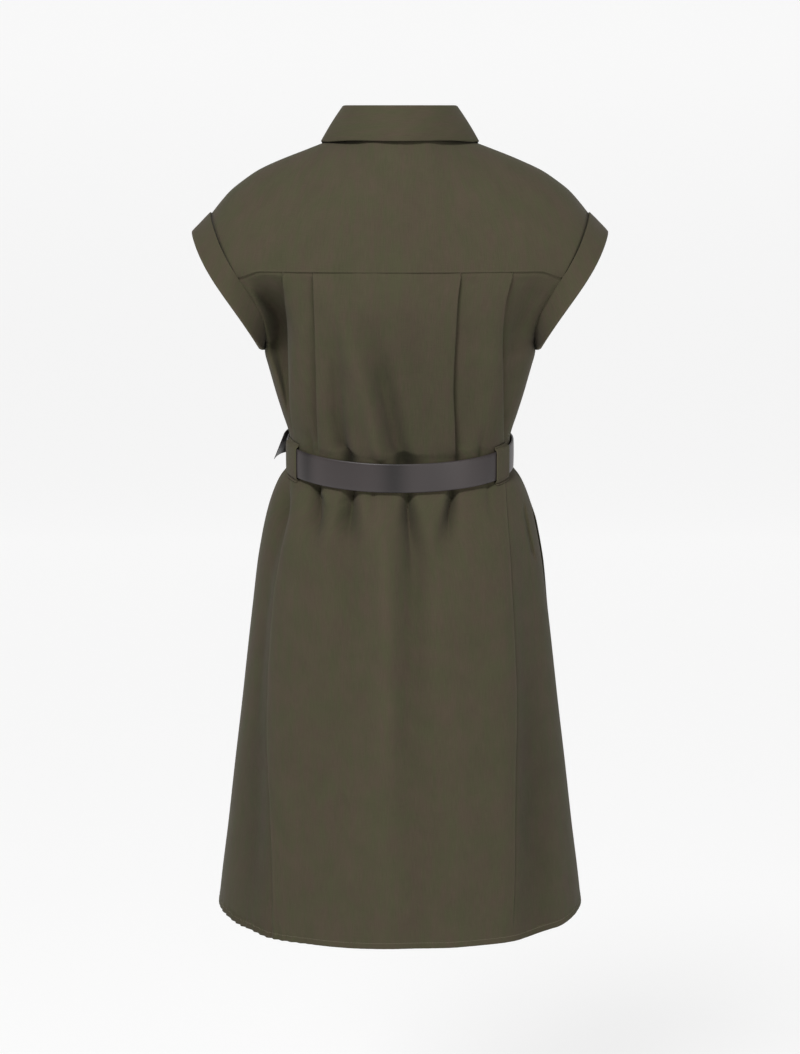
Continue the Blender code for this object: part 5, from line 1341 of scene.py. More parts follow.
@dataclass
class Cuff:
    """A turned-up cuff round a sleeve opening.

    Attributes:
        hand: +1 for the wearer's left sleeve, -1 for the right.
        top: Distance from the middle and height of its rim over the shoulder.
        bow: How far the rim bows out between them.
        start: Distance from the sleeve opening at which it starts.
        tuck: How much nearer it starts round the underarm, over the laps in tuck_ramp.
        proud: Distance of its outer face over the cloth.
        flat: Share of that which it loses at the underarm, over the laps in flat_ramp.
        inside: Distance of its inner face under the cloth.
        underarm_inside: How much deeper that lies right at the underarm.
        rows: Shares of the way from the opening to the rim.
        rounding: Height and share of width of its rounded rim.
        painted_light_and_shade: Painted highlight on its rows: by the opening, next to that, and at the rim.
        fold_out: How far the rim's fold stands out.
        foot: Inset of its ends at the opening, and their share of the distance over the cloth.
    """

    name: str
    hand: int
    form: DressForm = FORM
    columns: int = 168
    top: Pair = (243.0, -110.0)
    bottom: Pair = (161.4, -248.5)
    bow: float = 2.4
    half_depth: float = 77.0
    start: float = 0.4
    tuck: float = 1.4
    proud: float = 2.0
    inside: float = 1.5
    underarm_inside: float = 3.4
    underarm_width: float = 0.075
    tuck_ramp: Ramp = (0.22, 0.32)
    flat: float = 0.8
    flat_ramp: Ramp = (0.13, 0.27)
    rows: tuple[float, ...] = (0.0, 0.015, 0.05, 0.15, 0.3, 0.45, 0.6, 0.75, 0.88, 0.96, 1.0)
    wave: Pair = (0.35, 46.0)
    rounding: Pair = (0.35, 0.05)
    painted_light_and_shade: Triple = (0.5, 0.25, 0.45)
    fold_out: float = 0.9
    foot: Pair = (0.1, 0.5)

    def rim(self, lap: Array) -> Array:
        """The cuff's outer edge."""
        angle = 2.0 * math.pi * lap
        top, bottom = np.array(self.top), np.array(self.bottom)
        flat = (top + bottom) / 2.0 + (top - bottom) / 2.0 * np.cos(angle)[..., None]
        bowed = self.bow * np.sin(math.pi * np.cos(angle))
        return np.stack((flat[..., 0] + bowed, self.half_depth * np.sin(angle), flat[..., 1]), axis=-1)

    def build(self, material: Material) -> Thing:
        """Make the cuff: a band folded double, open between its two rings."""
        lap = np.arange(self.columns) / self.columns
        begin, end = self.form.opening(lap), self.rim(lap)
        along = unit(end - begin)
        cover = 1.0 - smooth_step(np.abs(lap - 0.5), *self.tuck_ramp)
        begin = begin + along * (self.start - self.tuck * cover)[:, None]
        width = np.array(self.rows)
        grid = begin + (end - begin) * width[:, None, None]
        around = np.roll(grid, -1, axis=1) - np.roll(grid, 1, axis=1)
        normal = unit(np.cross(np.gradient(grid, axis=0), around))
        under = 1.0 - smooth_step(np.abs(lap - 0.5), *self.flat_ramp)
        lift = self.proud * (1.0 - under * (1.0 - width[:, None]) * self.flat)
        size, length = self.wave
        wave = size * waves(grid, length, 17 + self.hand) * np.sin(math.pi * width)[:, None]
        drop, share = self.rounding
        outer = grid + normal * (lift + wave - drop * peak(width, 1.0, share)[:, None])[..., None]
        near = peak(lap, 0.5, self.underarm_width) * width[:, None]
        inner = (grid - normal * (self.inside + self.underarm_inside * near)[..., None])[::-1]
        fold = (outer[-1] + inner[0]) / 2.0 + along * self.fold_out
        inset, share = self.foot
        foot = grid[:1] - along * inset + normal[:1] * (lift[:1] * share)[..., None]
        points = np.concatenate((foot, outer, fold[None], inner, foot))
        hints = np.concatenate((normal[:1], normal, normal[-1:], -normal[::-1], -normal[:1]))
        painted_shading = np.zeros(points.shape[:2])
        # painted highlight by the opening and along the rim's fold
        painted_shading[1], painted_shading[2], painted_shading[len(outer) - 1 : len(outer) + 2] = self.painted_light_and_shade
        mirror = np.array((self.hand, 1.0, 1.0))
        return Surface(points * mirror, hints * mirror, closed=True, painted_shading=painted_shading).build(self.name, material)


# ---------------------------------------------------------------- strips: collar, band, belt, loops
@dataclass(frozen=True)
class Section:
    """The rounded section of a flat strip.

    Attributes:
        count: Columns between its rounded edges.
    """

    width: float
    thick: float
    count: int = 8

    def offsets(self) -> Array:
        """Places across the strip, from -width / 2 to width / 2."""
        radius = self.thick / 2.0
        edge = self.width / 2.0 - radius * np.array((0.0, 0.14, 0.5, 1.0))
        inner = np.linspace(-edge[-1], edge[-1], self.count + 2)[1:-1]
        return np.concatenate((-edge, inner, edge[::-1]))

    def half(self) -> Array:
        """Half the thickness at each place."""
        radius = self.thick / 2.0
        rounding = radius * np.array((0.16, 0.5, 0.87, 1.0))
        return np.concatenate((rounding, np.full(self.count, radius), rounding[::-1]))


@dataclass
class Strip:
    """A strip of cloth or leather folded or cut to a rounded section.

    Attributes:
        middle: Points in the strip's middle layer, along its length by across its width.
        half: Half the thickness at each column.
        ring: Whether the strip runs in a ring.
        painted_shading: Painted highlight along its long edges.
        painted_sheen: Painted sheen along its length, paler or darker on its faces.
        end_steps: Share of its thickness, and reach in half thicknesses, of the rows at an end.
    """

    middle: Array
    normal: Array
    half: Array
    ring: bool = False
    # painted highlight along the long edges, also for the collar stand and button band
    painted_shading: float = 0.4
    painted_sheen: Array | None = None
    end_steps: Rows = ((0.86, 0.5), (0.2, 1.0))

    def end_rows(self, row: int, inward: int, lift: Array) -> Array:
        """Two rows of points that round off an end, from the strip out.

        Args:
            row: Row at the end.
            inward: The row before it.
            lift: The strip's faces from its middle layer.

        Returns:
            Rows by columns by 3.
        """
        away = unit(self.middle[row] - self.middle[inward]) * float(np.max(self.half))
        rows = []
        for share, out in self.end_steps:
            middle, skin = self.middle[row] + away * out, lift[row] * share
            rows.append(np.concatenate((middle + skin, (middle - skin)[::-1])))
        return np.stack(rows)

    def build(self, name: str, material: Material) -> Thing:
        """Make the strip, with rounded ends where it is no ring."""
        lift = self.normal * self.half[..., None]
        outer, inner = self.middle + lift, self.middle - lift
        points = np.concatenate((outer, inner[:, ::-1]), axis=1)
        hints = np.concatenate((self.normal, -self.normal[:, ::-1]), axis=1)
        count = self.middle.shape[1]
        near = np.minimum(np.arange(count), np.arange(count)[::-1])
        # painted highlight on the columns next to each long edge
        lit = np.where(near <= 2, self.painted_shading, 0.0)
        painted_shading = np.tile(np.concatenate((lit, lit)), (len(points), 1))
        if self.painted_sheen is not None:
            painted_shading = painted_shading + self.painted_sheen[:, None]
        if not self.ring:
            first, last = self.end_rows(0, 1, lift)[::-1], self.end_rows(-1, -2, lift)
            points = np.concatenate((first, points, last))
            hints = np.concatenate((hints[:1], hints[:1], hints, hints[-1:], hints[-1:]))
            painted_shading = np.pad(painted_shading, ((len(first), len(last)), (0, 0)), constant_values=self.painted_shading)
        surface = Surface(points, hints, closed=True, painted_shading=painted_shading, ring=self.ring, capped=not self.ring)
        return surface.build(name, material)


@dataclass
class Collar:
    """A two-piece collar: the stand round the neck and the fall that turns down over it.

    Attributes:
        fold_level: Height of the fold behind, which bows by fold_bow.
        stand_front: Height of the stand in front, from the neckline, past the angles in front_ramp.
        end: Angle at which the fall ends.
        lap: Angle by which the stand laps over the middle front.
        stand_out: How far the stand leans out, at its foot and more at its top.
        half_width: Reach of the fall's edge at the sides.
        flare: Squareness of that edge; 1 would make it an ellipse.
        turn_end: Angle up to which the edge lies round the shoulders.
        edge_levels: Height of the edge behind, and its drop at the shoulders past edge_ramp.
        bend: Distance from the middle and depth towards which the edge then bends.
        point: Distance from the middle and depth of the collar's point.
        arc: Turns of the fold's first and last row.
        fold_out: How far the fold lies out, in and round the crown; wider by widen at the sides.
        swell: How far the fall swells out, with the height and size of its slight waves.
        spans: Widths of the stand and the fall for which their edges are rounded.
        over_yoke: Least distance of the edge from the yoke.
        over_chest: Its distance from the chest, and what is added at the point.
        crown: Height of the fold's middle over the stand, and how far in it lies.
    """

    form: DressForm = FORM
    fold_level: float = 33.5
    fold_bow: float = 1.5
    stand_front: float = 26.0
    stand_thick: float = 1.9
    fall_thick: float = 1.9
    end: float = math.radians(173.0)
    lap: float = math.radians(7.5)
    half_width: float = 91.0
    back: float = 64.0
    flare: float = 1.3
    turn_end: float = math.radians(96.0)
    bend: Pair = (88.0, -60.0)
    point: Pair = (44.0, -80.0)
    columns: int = 200
    front_ramp: Ramp = (math.radians(80.0), math.radians(118.0))
    lap_ramp: Ramp = (math.radians(158.0), math.radians(171.0))
    lap_shift: float = 1.2
    stand_out: Pair = (1.1, 0.4)
    stand_wave: Pair = (0.15, 40.0)
    edge_levels: Pair = (-2.0, -4.0)
    edge_ramp: Ramp = (0.6, 1.45)
    arc: Pair = (-0.15, 0.72)
    fold_out: Triple = (0.95, 0.5, 1.75)
    widen: float = 1.7
    swell: Triple = (0.8, 0.25, 55.0)
    stand_rows: int = 150
    arc_rows: int = 8
    spans: Pair = (30.0, 44.0)
    over_yoke: float = 1.2
    over_chest: Pair = (1.4, 1.2)
    crown: Pair = (0.3, 0.2)

    def sizes(self, angle: Array) -> tuple[Array, Array, Array]:
        """Outward direction, neckline point and stand height at angles round the neck."""
        turn = np.abs(angle)
        past = turn > math.pi
        base = self.form.shoulder_point(*self.form.neck_place(np.where(past, 2.0 * math.pi - turn, turn)))
        side = np.where(past, -1.0, 1.0) * np.sign(angle)
        base = mirrored(base, side)
        depth = np.where(np.cos(angle) > 0.0, self.form.neck_back, self.form.neck_front)
        outward = unit(np.stack((np.sin(angle) / self.form.neck_half_width, np.cos(angle) / depth,
                                 np.zeros_like(angle)), axis=-1))
        front = smooth_step(turn, *self.front_ramp)
        level = self.fold_level + self.fold_bow * np.cos(turn) - base[..., 2]
        return outward, base, level + (self.stand_front - level) * front

    def build_stand(self, material: Material) -> Thing:
        """Make the stand, lapped right over left at the middle front."""
        limit = math.pi + self.lap
        angle = np.linspace(limit, -limit, self.stand_rows)
        outward, base, height = self.sizes(angle)
        section = Section(1.0, self.stand_thick / self.spans[0], 10)
        share = section.offsets() + 0.5
        shift = -self.lap_shift * np.sign(angle) * smooth_step(np.abs(angle), *self.lap_ramp)
        up = 1.0 + (height[:, None] - 1.0) * share[None, :]
        foot, lean = self.stand_out
        out = -foot - lean * share[None, :] + shift[:, None]
        size, length = self.stand_wave
        wavy = size * waves(base, length, 21)[:, None]
        middle = base[:, None] + UP * up[..., None]
        middle = middle + outward[:, None] * (out + wavy)[..., None]
        half = np.tile(section.half() * self.spans[0], (len(angle), 1))
        return Strip(middle, np.repeat(outward[:, None], len(share), axis=1), half).build(
            "collar_stand_band", material)

    def reach(self, turn: Array) -> tuple[Array, Array]:
        """How far the free edge reaches across and behind, at angles as far as the shoulder."""
        across = self.half_width * np.sin(turn) ** self.flare
        return across, self.back * np.sign(np.cos(turn)) * np.abs(np.cos(turn)) ** self.flare

    def free_edge(self, angle: Array) -> Array:
        """The fall's free edge over the yoke, the shoulder and the chest."""
        turn, form = np.abs(angle), self.form
        near = np.minimum(turn, self.turn_end)
        across, forth = self.reach(near)
        place = np.where(forth >= 0.0, form.arch_turn(Side.BACK, across, forth),
                         form.arch_turn(Side.FRONT, across, forth))
        skin = form.shoulder_point(across, np.copysign(place, forth))
        start, drop = self.edge_levels
        level = start + drop * smooth_step(turn, *self.edge_ramp)
        behind = np.stack((across, forth, np.maximum(level, skin[..., 2] + self.over_yoke)), axis=-1)
        t = np.maximum(turn - self.turn_end, 0.0) / (self.end - self.turn_end)
        start = self.reach(self.turn_end)
        across, forth = ((1 - t) ** 2 * start[axis] + 2 * t * (1 - t) * self.bend[axis]
                         + t**2 * self.point[axis] for axis in (0, 1))
        place = form.arch_turn(Side.FRONT, across, forth)
        before = form.shoulder_point(across, -place)
        lift, gain = self.over_chest
        before = before + form.shoulder_normal(across, -place) * (lift + gain * t)[..., None]
        edge = np.where((turn <= self.turn_end)[..., None], behind, before)
        return mirrored(edge, np.where(angle < 0.0, -1.0, 1.0))

    def fall_grid(self) -> tuple[Array, Array]:
        """The fall's middle layer and normals, from the fold to the free edge."""
        angle = np.linspace(self.end, -self.end, self.columns)
        outward, base, height = self.sizes(angle)
        rise, inset = self.crown
        crown = base + UP * (height + rise)[:, None] - outward * inset
        widen = self.widen * np.sin(angle)[:, None] ** 8
        out, down, radius = self.fold_out
        rows, normals = [], []
        for step in np.linspace(*self.arc, self.arc_rows) * math.pi:
            way = -outward * math.cos(step) + UP * math.sin(step)
            rows.append(crown + outward * (out + widen) + UP * (down - widen) + way * (radius + widen))
            normals.append(way)
        shoulder, edge = rows[-1], self.free_edge(angle)
        around = np.stack((np.cos(angle), -np.sin(angle), np.zeros_like(angle)), axis=-1)
        lean = unit(edge - shoulder)
        normal = np.cross(around, lean)
        normal = unit(normal * np.sign(np.sum(normal * (outward + UP), axis=-1))[:, None])
        edge = edge + normal * self.fall_thick * 0.5
        section = Section(1.0, self.fall_thick / self.spans[1], 14)
        drops = 0.5 + section.offsets()
        first = normals[-1]
        full, size, length = self.swell
        for drop in drops[3:]:
            wavy = size * waves(shoulder, length, 23) * drop * (1 - drop) * 4
            swell = full * math.sin(math.pi * drop) + wavy
            rows.append(shoulder + (edge - shoulder) * drop + normal * np.asarray(swell)[:, None])
            blend = min(drop * 3.0, 1.0)
            normals.append(unit(first * (1.0 - blend) + normal * blend))
        return np.stack(rows, axis=1), np.stack(normals, axis=1)

    def build_fall(self, material: Material) -> Thing:
        """Make the fall."""
        middle, normal = self.fall_grid()
        thin = self.fall_thick / 2.0 * np.array((0.87, 0.5, 0.16))
        half = np.full(middle.shape[:2], self.fall_thick / 2.0)
        half[:, -3:] = thin
        # painted highlight along the fall's edges
        return Strip(middle, normal, half, painted_shading=0.5).build("collar_fall_cloth", material)


@dataclass
class FrontSkin:
    """Places on the fronts' surface, above and below the chest."""

    form: DressForm = FORM
    drape: Drape = DRAPE

    def place(self, across: Array, height: Array, lift: Array) -> tuple[Array, Array]:
        """Points and normals over the front.

        Args:
            across: Distances from the middle.
            height: Heights.
            lift: Distance over the cloth of a front.

        Returns:
            Points and outward normals.
        """
        form = self.form
        across, height, lift = np.broadcast_arrays(*(np.asarray(v, float) for v in (across, height, lift)))
        rise = lift + self.drape.rise(Side.FRONT, across, height, plain=True)
        top = form.top(np.abs(across))
        share = np.clip((height - form.chest_level) / (top - form.chest_level), 0.0, 1.0)
        turn = np.arccos(share ** (form.arch_power(Side.FRONT, across) / 2.0))
        high, high_normal = form.arch_point(Side.FRONT, across, turn), form.shoulder_normal(across, -turn)
        angle = math.pi - form.ring_angle(Side.FRONT, across, height)
        low, low_normal = form.around(angle, height), form.around_normal(angle, height)
        above = (height > form.chest_level)[..., None]
        normal = np.where(above, high_normal, low_normal)
        return np.where(above, high, low) + normal * rise[..., None], normal


@dataclass
class ButtonBand:
    """The button band on the right front, with its buttonholes."""

    skin: FrontSkin = field(default_factory=FrontSkin)
    width: float = 29.8
    thick: float = 1.7
    lift: float = 0.15
    runs: tuple[Triple, ...] = ((-61.9, -165.0, 3.0), (-165.5, -935.0, 4.0), (-936.0, -937.0, 0.6))
    stitch_inset: float = 3.0
    slack: float = 0.25
    ripple: Triple = (17.0, 1.5, 61.0)

    def grid(self, offsets: Array) -> tuple[Array, Array]:
        """Points and normals of the band's middle layer."""
        height = steps_down(*self.runs)
        close, uneven, slow = self.ripple
        wavy = np.sin(height / close + uneven * np.sin(height / slow))
        slack = self.slack * (1.0 - window(height, *BELT_RAMPS)) * wavy
        return self.skin.place(offsets[None, :], height[:, None], (self.lift + slack)[:, None])

    def build(self, material: Material) -> Thing:
        """Make the band."""
        section = Section(self.width, self.thick, 8)
        middle, normal = self.grid(section.offsets())
        half = np.tile(section.half(), (len(middle), 1))
        return Strip(middle, normal, half).build("button_band", material)

    def stitch_lines(self) -> list[tuple[Array, Array]]:
        """The two rows of stitches along the band."""
        inset = self.width / 2.0 - self.stitch_inset
        middle, normal = self.grid(np.array((-inset, inset)))
        points = middle + normal * (self.thick / 2.0)
        return [(points[:, column], normal[:, column]) for column in range(2)]


@dataclass
class Belt:
    """The dress's own belt, its free end and the two cloth loops that carry it.

    Attributes:
        clear: Distance of its inner face from the form.
        tail_ease: Gap between it and its free end.
        tail_free: Shares of its length between which it comes away from the waist.
        tail_reach: How far its lower and upper edge stand off at the tip.
        tail_thin: Share of thickness that it loses towards the tip, and where.
        loop_radius: Radius at which a loop's width is turned into angles.
        tail_inset: How much narrower the free end is.
        tail_rise: How much higher its tip lies.
        loop_rows: Height over the belt's edge and distance from the form, from a loop's end in.
        loop_bend: The same from where it passes over the edge, as a distance from over the belt.
        painted_light_and_shade: Place, half width and lightness of the painted sheen bands behind.
    """

    form: DressForm = FORM
    width: float = 34.0
    thick: float = 3.0
    clear: float = 1.15
    tail_thick: float = 2.4
    tail_ease: float = 0.35
    tail_start: float = math.radians(188.0)
    tail_end: float = math.radians(97.0)
    tail_free: Pair = (0.60, 0.88)
    loop_radius: float = 100.0
    painted_light_and_shade: Rows = (
        (108.0, 6.0, -0.5), (94.0, 7.0, 0.12), (60.0, 18.0, -0.1), (7.0, 15.0, -0.62), (-38.0, 16.0, -0.12),
        (-70.0, 13.0, 0.12), (-104.0, 8.0, -0.15))
    loop_thick: float = 1.3
    bow: float = 0.35
    sway: float = 0.25
    tail_reach: Pair = (15.0, 1.8)
    tail_thin: Triple = (0.62, 0.7, 0.95)
    loop_rows: Rows = ((5.2, 1.1), (4.4, 1.15), (3.4, 1.5), (2.5, 2.7), (1.5, 4.4))
    loop_bend: Rows = ((0.3, 0.0), (-3.0, 0.2))
    loop_bow: float = 0.3
    loop_gap: float = 0.1
    loop_points: int = 46
    sewn_ramp: Ramp = (0.9, 2.6)
    rows: int = 240
    sways: float = 7.0
    tail_rows: int = 90
    tail_inset: float = 1.2
    tail_rise: float = 3.0

    def strip(self, angle: Array, section: Section, lift: Array, rise: Array) -> tuple[Array, Array, Array]:
        """Middle layer, normals and half thickness of a strip round the waist.

        Args:
            angle: Full angles along the strip.
            section: Its section.
            lift: Distance of its middle layer from the form, along by across.
            rise: How much higher it lies, for each angle.

        Returns:
            Points, normals and half thicknesses.
        """
        offsets = section.offsets()
        height = self.form.belt_centre + offsets[None, :] + rise[:, None]
        middle = self.form.waist(angle[:, None], height, np.broadcast_to(lift, height.shape))
        normal = np.repeat(self.form.waist_outward(angle)[:, None], len(offsets), axis=1)
        return middle, normal, np.tile(section.half(), (len(angle), 1))

    def build_band(self, material: Material) -> Thing:
        """Make the belt."""
        angle = np.linspace(0.0, 2.0 * math.pi, self.rows, endpoint=False)
        section = Section(self.width, self.thick, 10)
        bow = self.bow * np.cos(section.offsets() / self.width * math.pi)
        sway = self.sway * np.sin(angle * self.sways)
        lift = self.clear + self.thick / 2.0 + bow[None, :] + sway[:, None]
        middle, normal, half = self.strip(angle, section, lift, np.zeros(len(angle)))
        across = middle[:, 0, 0]
        # painted sheen bands, paler and darker, on the belt's back half
        painted_sheen = sum(pale * peak(across, place, size) for place, size, pale in self.painted_light_and_shade)
        painted_sheen = np.where(middle[:, 0, 1] > 0.0, painted_sheen, 0.0)
        return Strip(middle, normal, half, ring=True, painted_shading=0.0, painted_sheen=painted_sheen).build("belt_band", material)

    def build_tail(self, material: Material) -> Thing:
        """Make the belt's free end, whose tip stands off the waist."""
        share = np.linspace(0.0, 1.0, self.tail_rows)
        angle = self.tail_start + (self.tail_end - self.tail_start) * share
        section = Section(self.width - self.tail_inset, self.tail_thick, 10)
        free = smooth_step(share, *self.tail_free)
        across = section.offsets() / section.width + 0.5
        lower, upper = self.tail_reach
        stand_off = lower + (upper - lower) * across
        lay = self.clear + self.thick + self.tail_ease + self.tail_thick / 2.0
        lift = lay + free[:, None] * stand_off[None, :]
        middle, normal, half = self.strip(angle, section, lift, free * self.tail_rise)
        thin, *ramp = self.tail_thin
        half = half * (1.0 - thin * smooth_step(share, *ramp))[:, None]
        return Strip(middle, normal, half, painted_shading=0.0).build("belt_free_end", material)

    def build_loop(self, name: str, angle: float, width: float, material: Material) -> Thing:
        """Make a belt loop of a width at an angle."""
        half_belt = self.width / 2.0
        over = self.clear + self.thick + self.tail_ease + self.loop_thick / 2.0 + self.loop_gap
        steps = [(half_belt + height, lift) for height, lift in self.loop_rows]
        steps += [(half_belt + height, over + lift) for height, lift in self.loop_bend]
        lower = [(-height, lift) for height, lift in reversed(steps)]
        rows = np.array([*steps, (0.0, over + self.loop_bow), *lower])
        fine = np.linspace(0.0, len(rows) - 1.0, self.loop_points)
        height, lift = (np.interp(fine, np.arange(len(rows)), rows[:, column]) for column in (0, 1))
        section = Section(width, self.loop_thick, 8)
        place = angle - section.offsets() / self.loop_radius
        level = self.form.belt_centre + height[:, None] + np.zeros(len(place))
        around = np.broadcast_to(place[None, :], level.shape)
        base = self.form.waist(around, level, np.zeros(level.shape))
        cloth = DRAPE.rise(Side.BACK, base[..., 0], level, plain=True)
        cloth = cloth + sum(pleat.rise(base[..., 0], level) for pleat in PLEATS.values())
        sewn = 1.0 - smooth_step(lift, *self.sewn_ramp)[:, None]
        total = lift[:, None] + np.maximum(cloth, 0.0) * sewn
        middle = self.form.waist(around, level, total)
        outward = np.repeat(self.form.waist_outward(place)[None], len(height), axis=0)
        normal = unit(np.cross(np.gradient(middle, axis=0), np.gradient(middle, axis=1)))
        normal *= np.sign(np.sum(normal * outward, axis=-1))[..., None]
        half = np.tile(section.half(), (len(height), 1))
        # painted highlight along the loop's folded edges
        return Strip(middle, normal, half, painted_shading=0.7).build(name, material)


@dataclass
class Pocket:
    """A side pocket's bag, inside the front.

    Attributes:
        hand: +1 for the wearer's left, -1 for the right.
        depths: Depth of the front's inner face, and the gap to it.
        mouth: Share of its reach at the top, the rest, and the share of its height that takes.
        foot: Shares of its height where its round foot starts and that it takes, and least roundness.
        lean: How much further round the body it reaches than its distance says.
        slack: Height and size of its slight waves.
        edge: By these a column's number becomes its share of the thickness.
    """

    name: str
    hand: int
    form: DressForm = FORM
    drape: Drape = DRAPE
    top: float = -412.0
    bottom: float = -628.0
    reach: float = 110.0
    inset: float = 13.0
    thick: float = 2.0
    depths: Pair = (1.6, 1.3)
    rows: int = 60
    columns: int = 36
    mouth: Triple = (0.72, 0.28, 0.375)
    foot: Triple = (0.625, 0.4, 0.05)
    lean: float = 1.12
    slack: Pair = (0.25, 30.0)
    edge: Pair = (0.6, 2.0)

    def build(self, material: Material) -> Thing:
        """Make the bag, its two layers lying together."""
        down = np.linspace(0.0, 1.0, self.rows)[:, None]
        height = self.top + (self.bottom - self.top) * down
        narrow, gain, level = self.mouth
        full = narrow + gain * np.minimum(down / level, 1.0)
        start, size, least = self.foot
        low = np.maximum((down - start) / size, 0.0)
        reach = self.reach * full * np.sqrt(np.maximum(1.0 - low**2, least))
        across = np.linspace(0.0, 1.0, self.columns)[None, :]
        turn = (self.inset + reach * across) / self.form.ring_sizes(Side.FRONT, height)[0] * self.lean
        angle = self.hand * (math.pi / 2 + turn)
        height = np.broadcast_to(height, angle.shape)
        base = self.form.around(angle, height)
        normal = self.form.around_normal(angle, height)
        rise = self.drape.rise(Side.FRONT, base[..., 0], height, plain=True)
        rise = rise - sum(self.depths) - self.thick / 2.0
        size, length = self.slack
        middle = base + normal * (rise + size * waves(base, length, 31))[..., None]
        number = np.arange(self.columns)
        more, whole = self.edge
        share = np.clip((np.minimum(number, number[::-1]) + more) / whole, 0.0, 1.0)
        half = np.tile(self.thick / 2.0 * share, (len(down), 1))
        return Strip(middle, normal, half, painted_shading=0.0).build(self.name, material)


# ---------------------------------------------------------------- repeated parts: buttons and stitches
Feeds = dict[str | int, object]


class Graph:
    """A node tree in the making."""

    def __init__(self, tree: bpy.types.NodeTree) -> None:
        """Work on a tree."""
        self.tree = tree

    def feed(self, node: bpy.types.Node, inputs: Feeds) -> None:
        """Set a node's inputs to values, or link them to the outputs that feed them."""
        for name, value in inputs.items():
            if isinstance(value, Socket):
                self.tree.links.new(value, node.inputs[name])
            else:
                node.inputs[name].default_value = value

    def add(self, kind: str, inputs: Feeds | None = None, **settings: object) -> bpy.types.Node:
        """Add a node.

        Args:
            kind: Its type.
            inputs: Values of its inputs, or the outputs that feed them.
            settings: Its other properties.

        Returns:
            The node.
        """
        node = self.tree.nodes.new(kind)
        for name, value in settings.items():
            setattr(node, name, value)
        self.feed(node, inputs or {})
        return node

    def socket(self, name: str, way: str, kind: str, default: float | None = None) -> None:
        """Add a socket to the tree's own inputs or outputs."""
        socket = self.tree.interface.new_socket(name, in_out=way, socket_type=f"NodeSocket{kind}")
        if default is not None:
            socket.default_value = default

    def open_ends(self) -> None:
        """Add the nodes by which values come in and go out."""
        self.inlet = self.tree.nodes.new("NodeGroupInput")
        self.outlet = self.tree.nodes.new("NodeGroupOutput")

    def paint_shading(self, colour: object, shade: object, paler: float) -> Socket:
        """A colour times a shade, made paler or darker by the mesh's painted light and shade.

        Args:
            colour: The colour, or the output that feeds it.
            shade: The shade, about 1, or the output that feeds it.
            paler: How much the mesh's painted light and shade add to the shade.

        Returns:
            The colour's output.
        """
        painted_shading = self.add("ShaderNodeAttribute", attribute_name=PAINTED_SHADING)
        factors = {0: painted_shading.outputs["Fac"], 1: paler, 2: shade}
        lift = self.add("ShaderNodeMath", factors, operation="MULTIPLY_ADD")
        scaled = self.add("ShaderNodeVectorMath", {0: colour, "Scale": lift.outputs[0]}, operation="SCALE")
        return scaled.outputs[0]


class NodeGraph(Graph):
    """A geometry node tree in the making."""

    def __init__(self, name: str, values: dict[str, float]) -> None:
        """Start a tree with a geometry input and output.

        Args:
            name: Name of the tree.
            values: Names and defaults of its number inputs.
        """
        super().__init__(bpy.data.node_groups.new(name, "GeometryNodeTree"))
        self.socket("Geometry", "INPUT", "Geometry")
        self.socket("Geometry", "OUTPUT", "Geometry")
        for key, default in values.items():
            self.socket(key, "INPUT", "Float", default)
        self.open_ends()

    def finish(self, instances: Socket, material: Material | None = None) -> None:
        """Realize the instances, give them a finish if they bring none, and send them out."""
        last = self.add("GeometryNodeRealizeInstances", {0: instances})
        if material is not None:
            last = self.add("GeometryNodeSetMaterial", {"Geometry": last.outputs[0], "Material": material})
        self.feed(self.outlet, {0: last.outputs[0]})

    def make(self, name: str, mesh: bpy.types.Mesh, **values: float) -> Thing:
        """Run the tree on a mesh and keep the result as a plain mesh.

        Args:
            name: Name of the piece.
            mesh: The mesh it starts from.
            values: Values of the tree's inputs.

        Returns:
            The piece, without its modifier.
        """
        thing = add_object(name, mesh)
        modifier = thing.modifiers.new("nodes", "NODES")
        modifier.node_group = self.tree
        for item in self.tree.interface.items_tree:
            if item.in_out == "INPUT" and item.name in values:
                modifier[item.identifier] = values[item.name]
        graph = bpy.context.evaluated_depsgraph_get()
        graph.update()
        result = bpy.data.meshes.new_from_object(
            thing.evaluated_get(graph), preserve_all_data_layers=True, depsgraph=graph)
        thing.modifiers.clear()
        thing.data = result
        bpy.data.meshes.remove(mesh)
        return thing


def path_mesh(name: str, paths: Sequence[tuple[Array, Array]], edges: bool = True) -> bpy.types.Mesh:
    """A mesh of points or lines that carries the cloth's normals.

    Args:
        name: Name of the mesh.
        paths: Points in millimetres and normals of each line.
        edges: Whether neighbouring points are joined.

    Returns:
        The mesh, with the normals as an attribute named facing.
    """
    points = np.concatenate([path[0] for path in paths])
    facing = np.concatenate([path[1] for path in paths])
    pairs, start = [], 0
    for path in paths:
        if edges:
            pairs.extend((start + step, start + step + 1) for step in range(len(path[0]) - 1))
        start += len(path[0])
    mesh = bpy.data.meshes.new(name)
    mesh.from_pydata((points * MM).tolist(), pairs, [])
    mesh.attributes.new(FACING, "FLOAT_VECTOR", "POINT").data.foreach_set(
        "vector", facing.astype(np.float32).ravel())
    return mesh


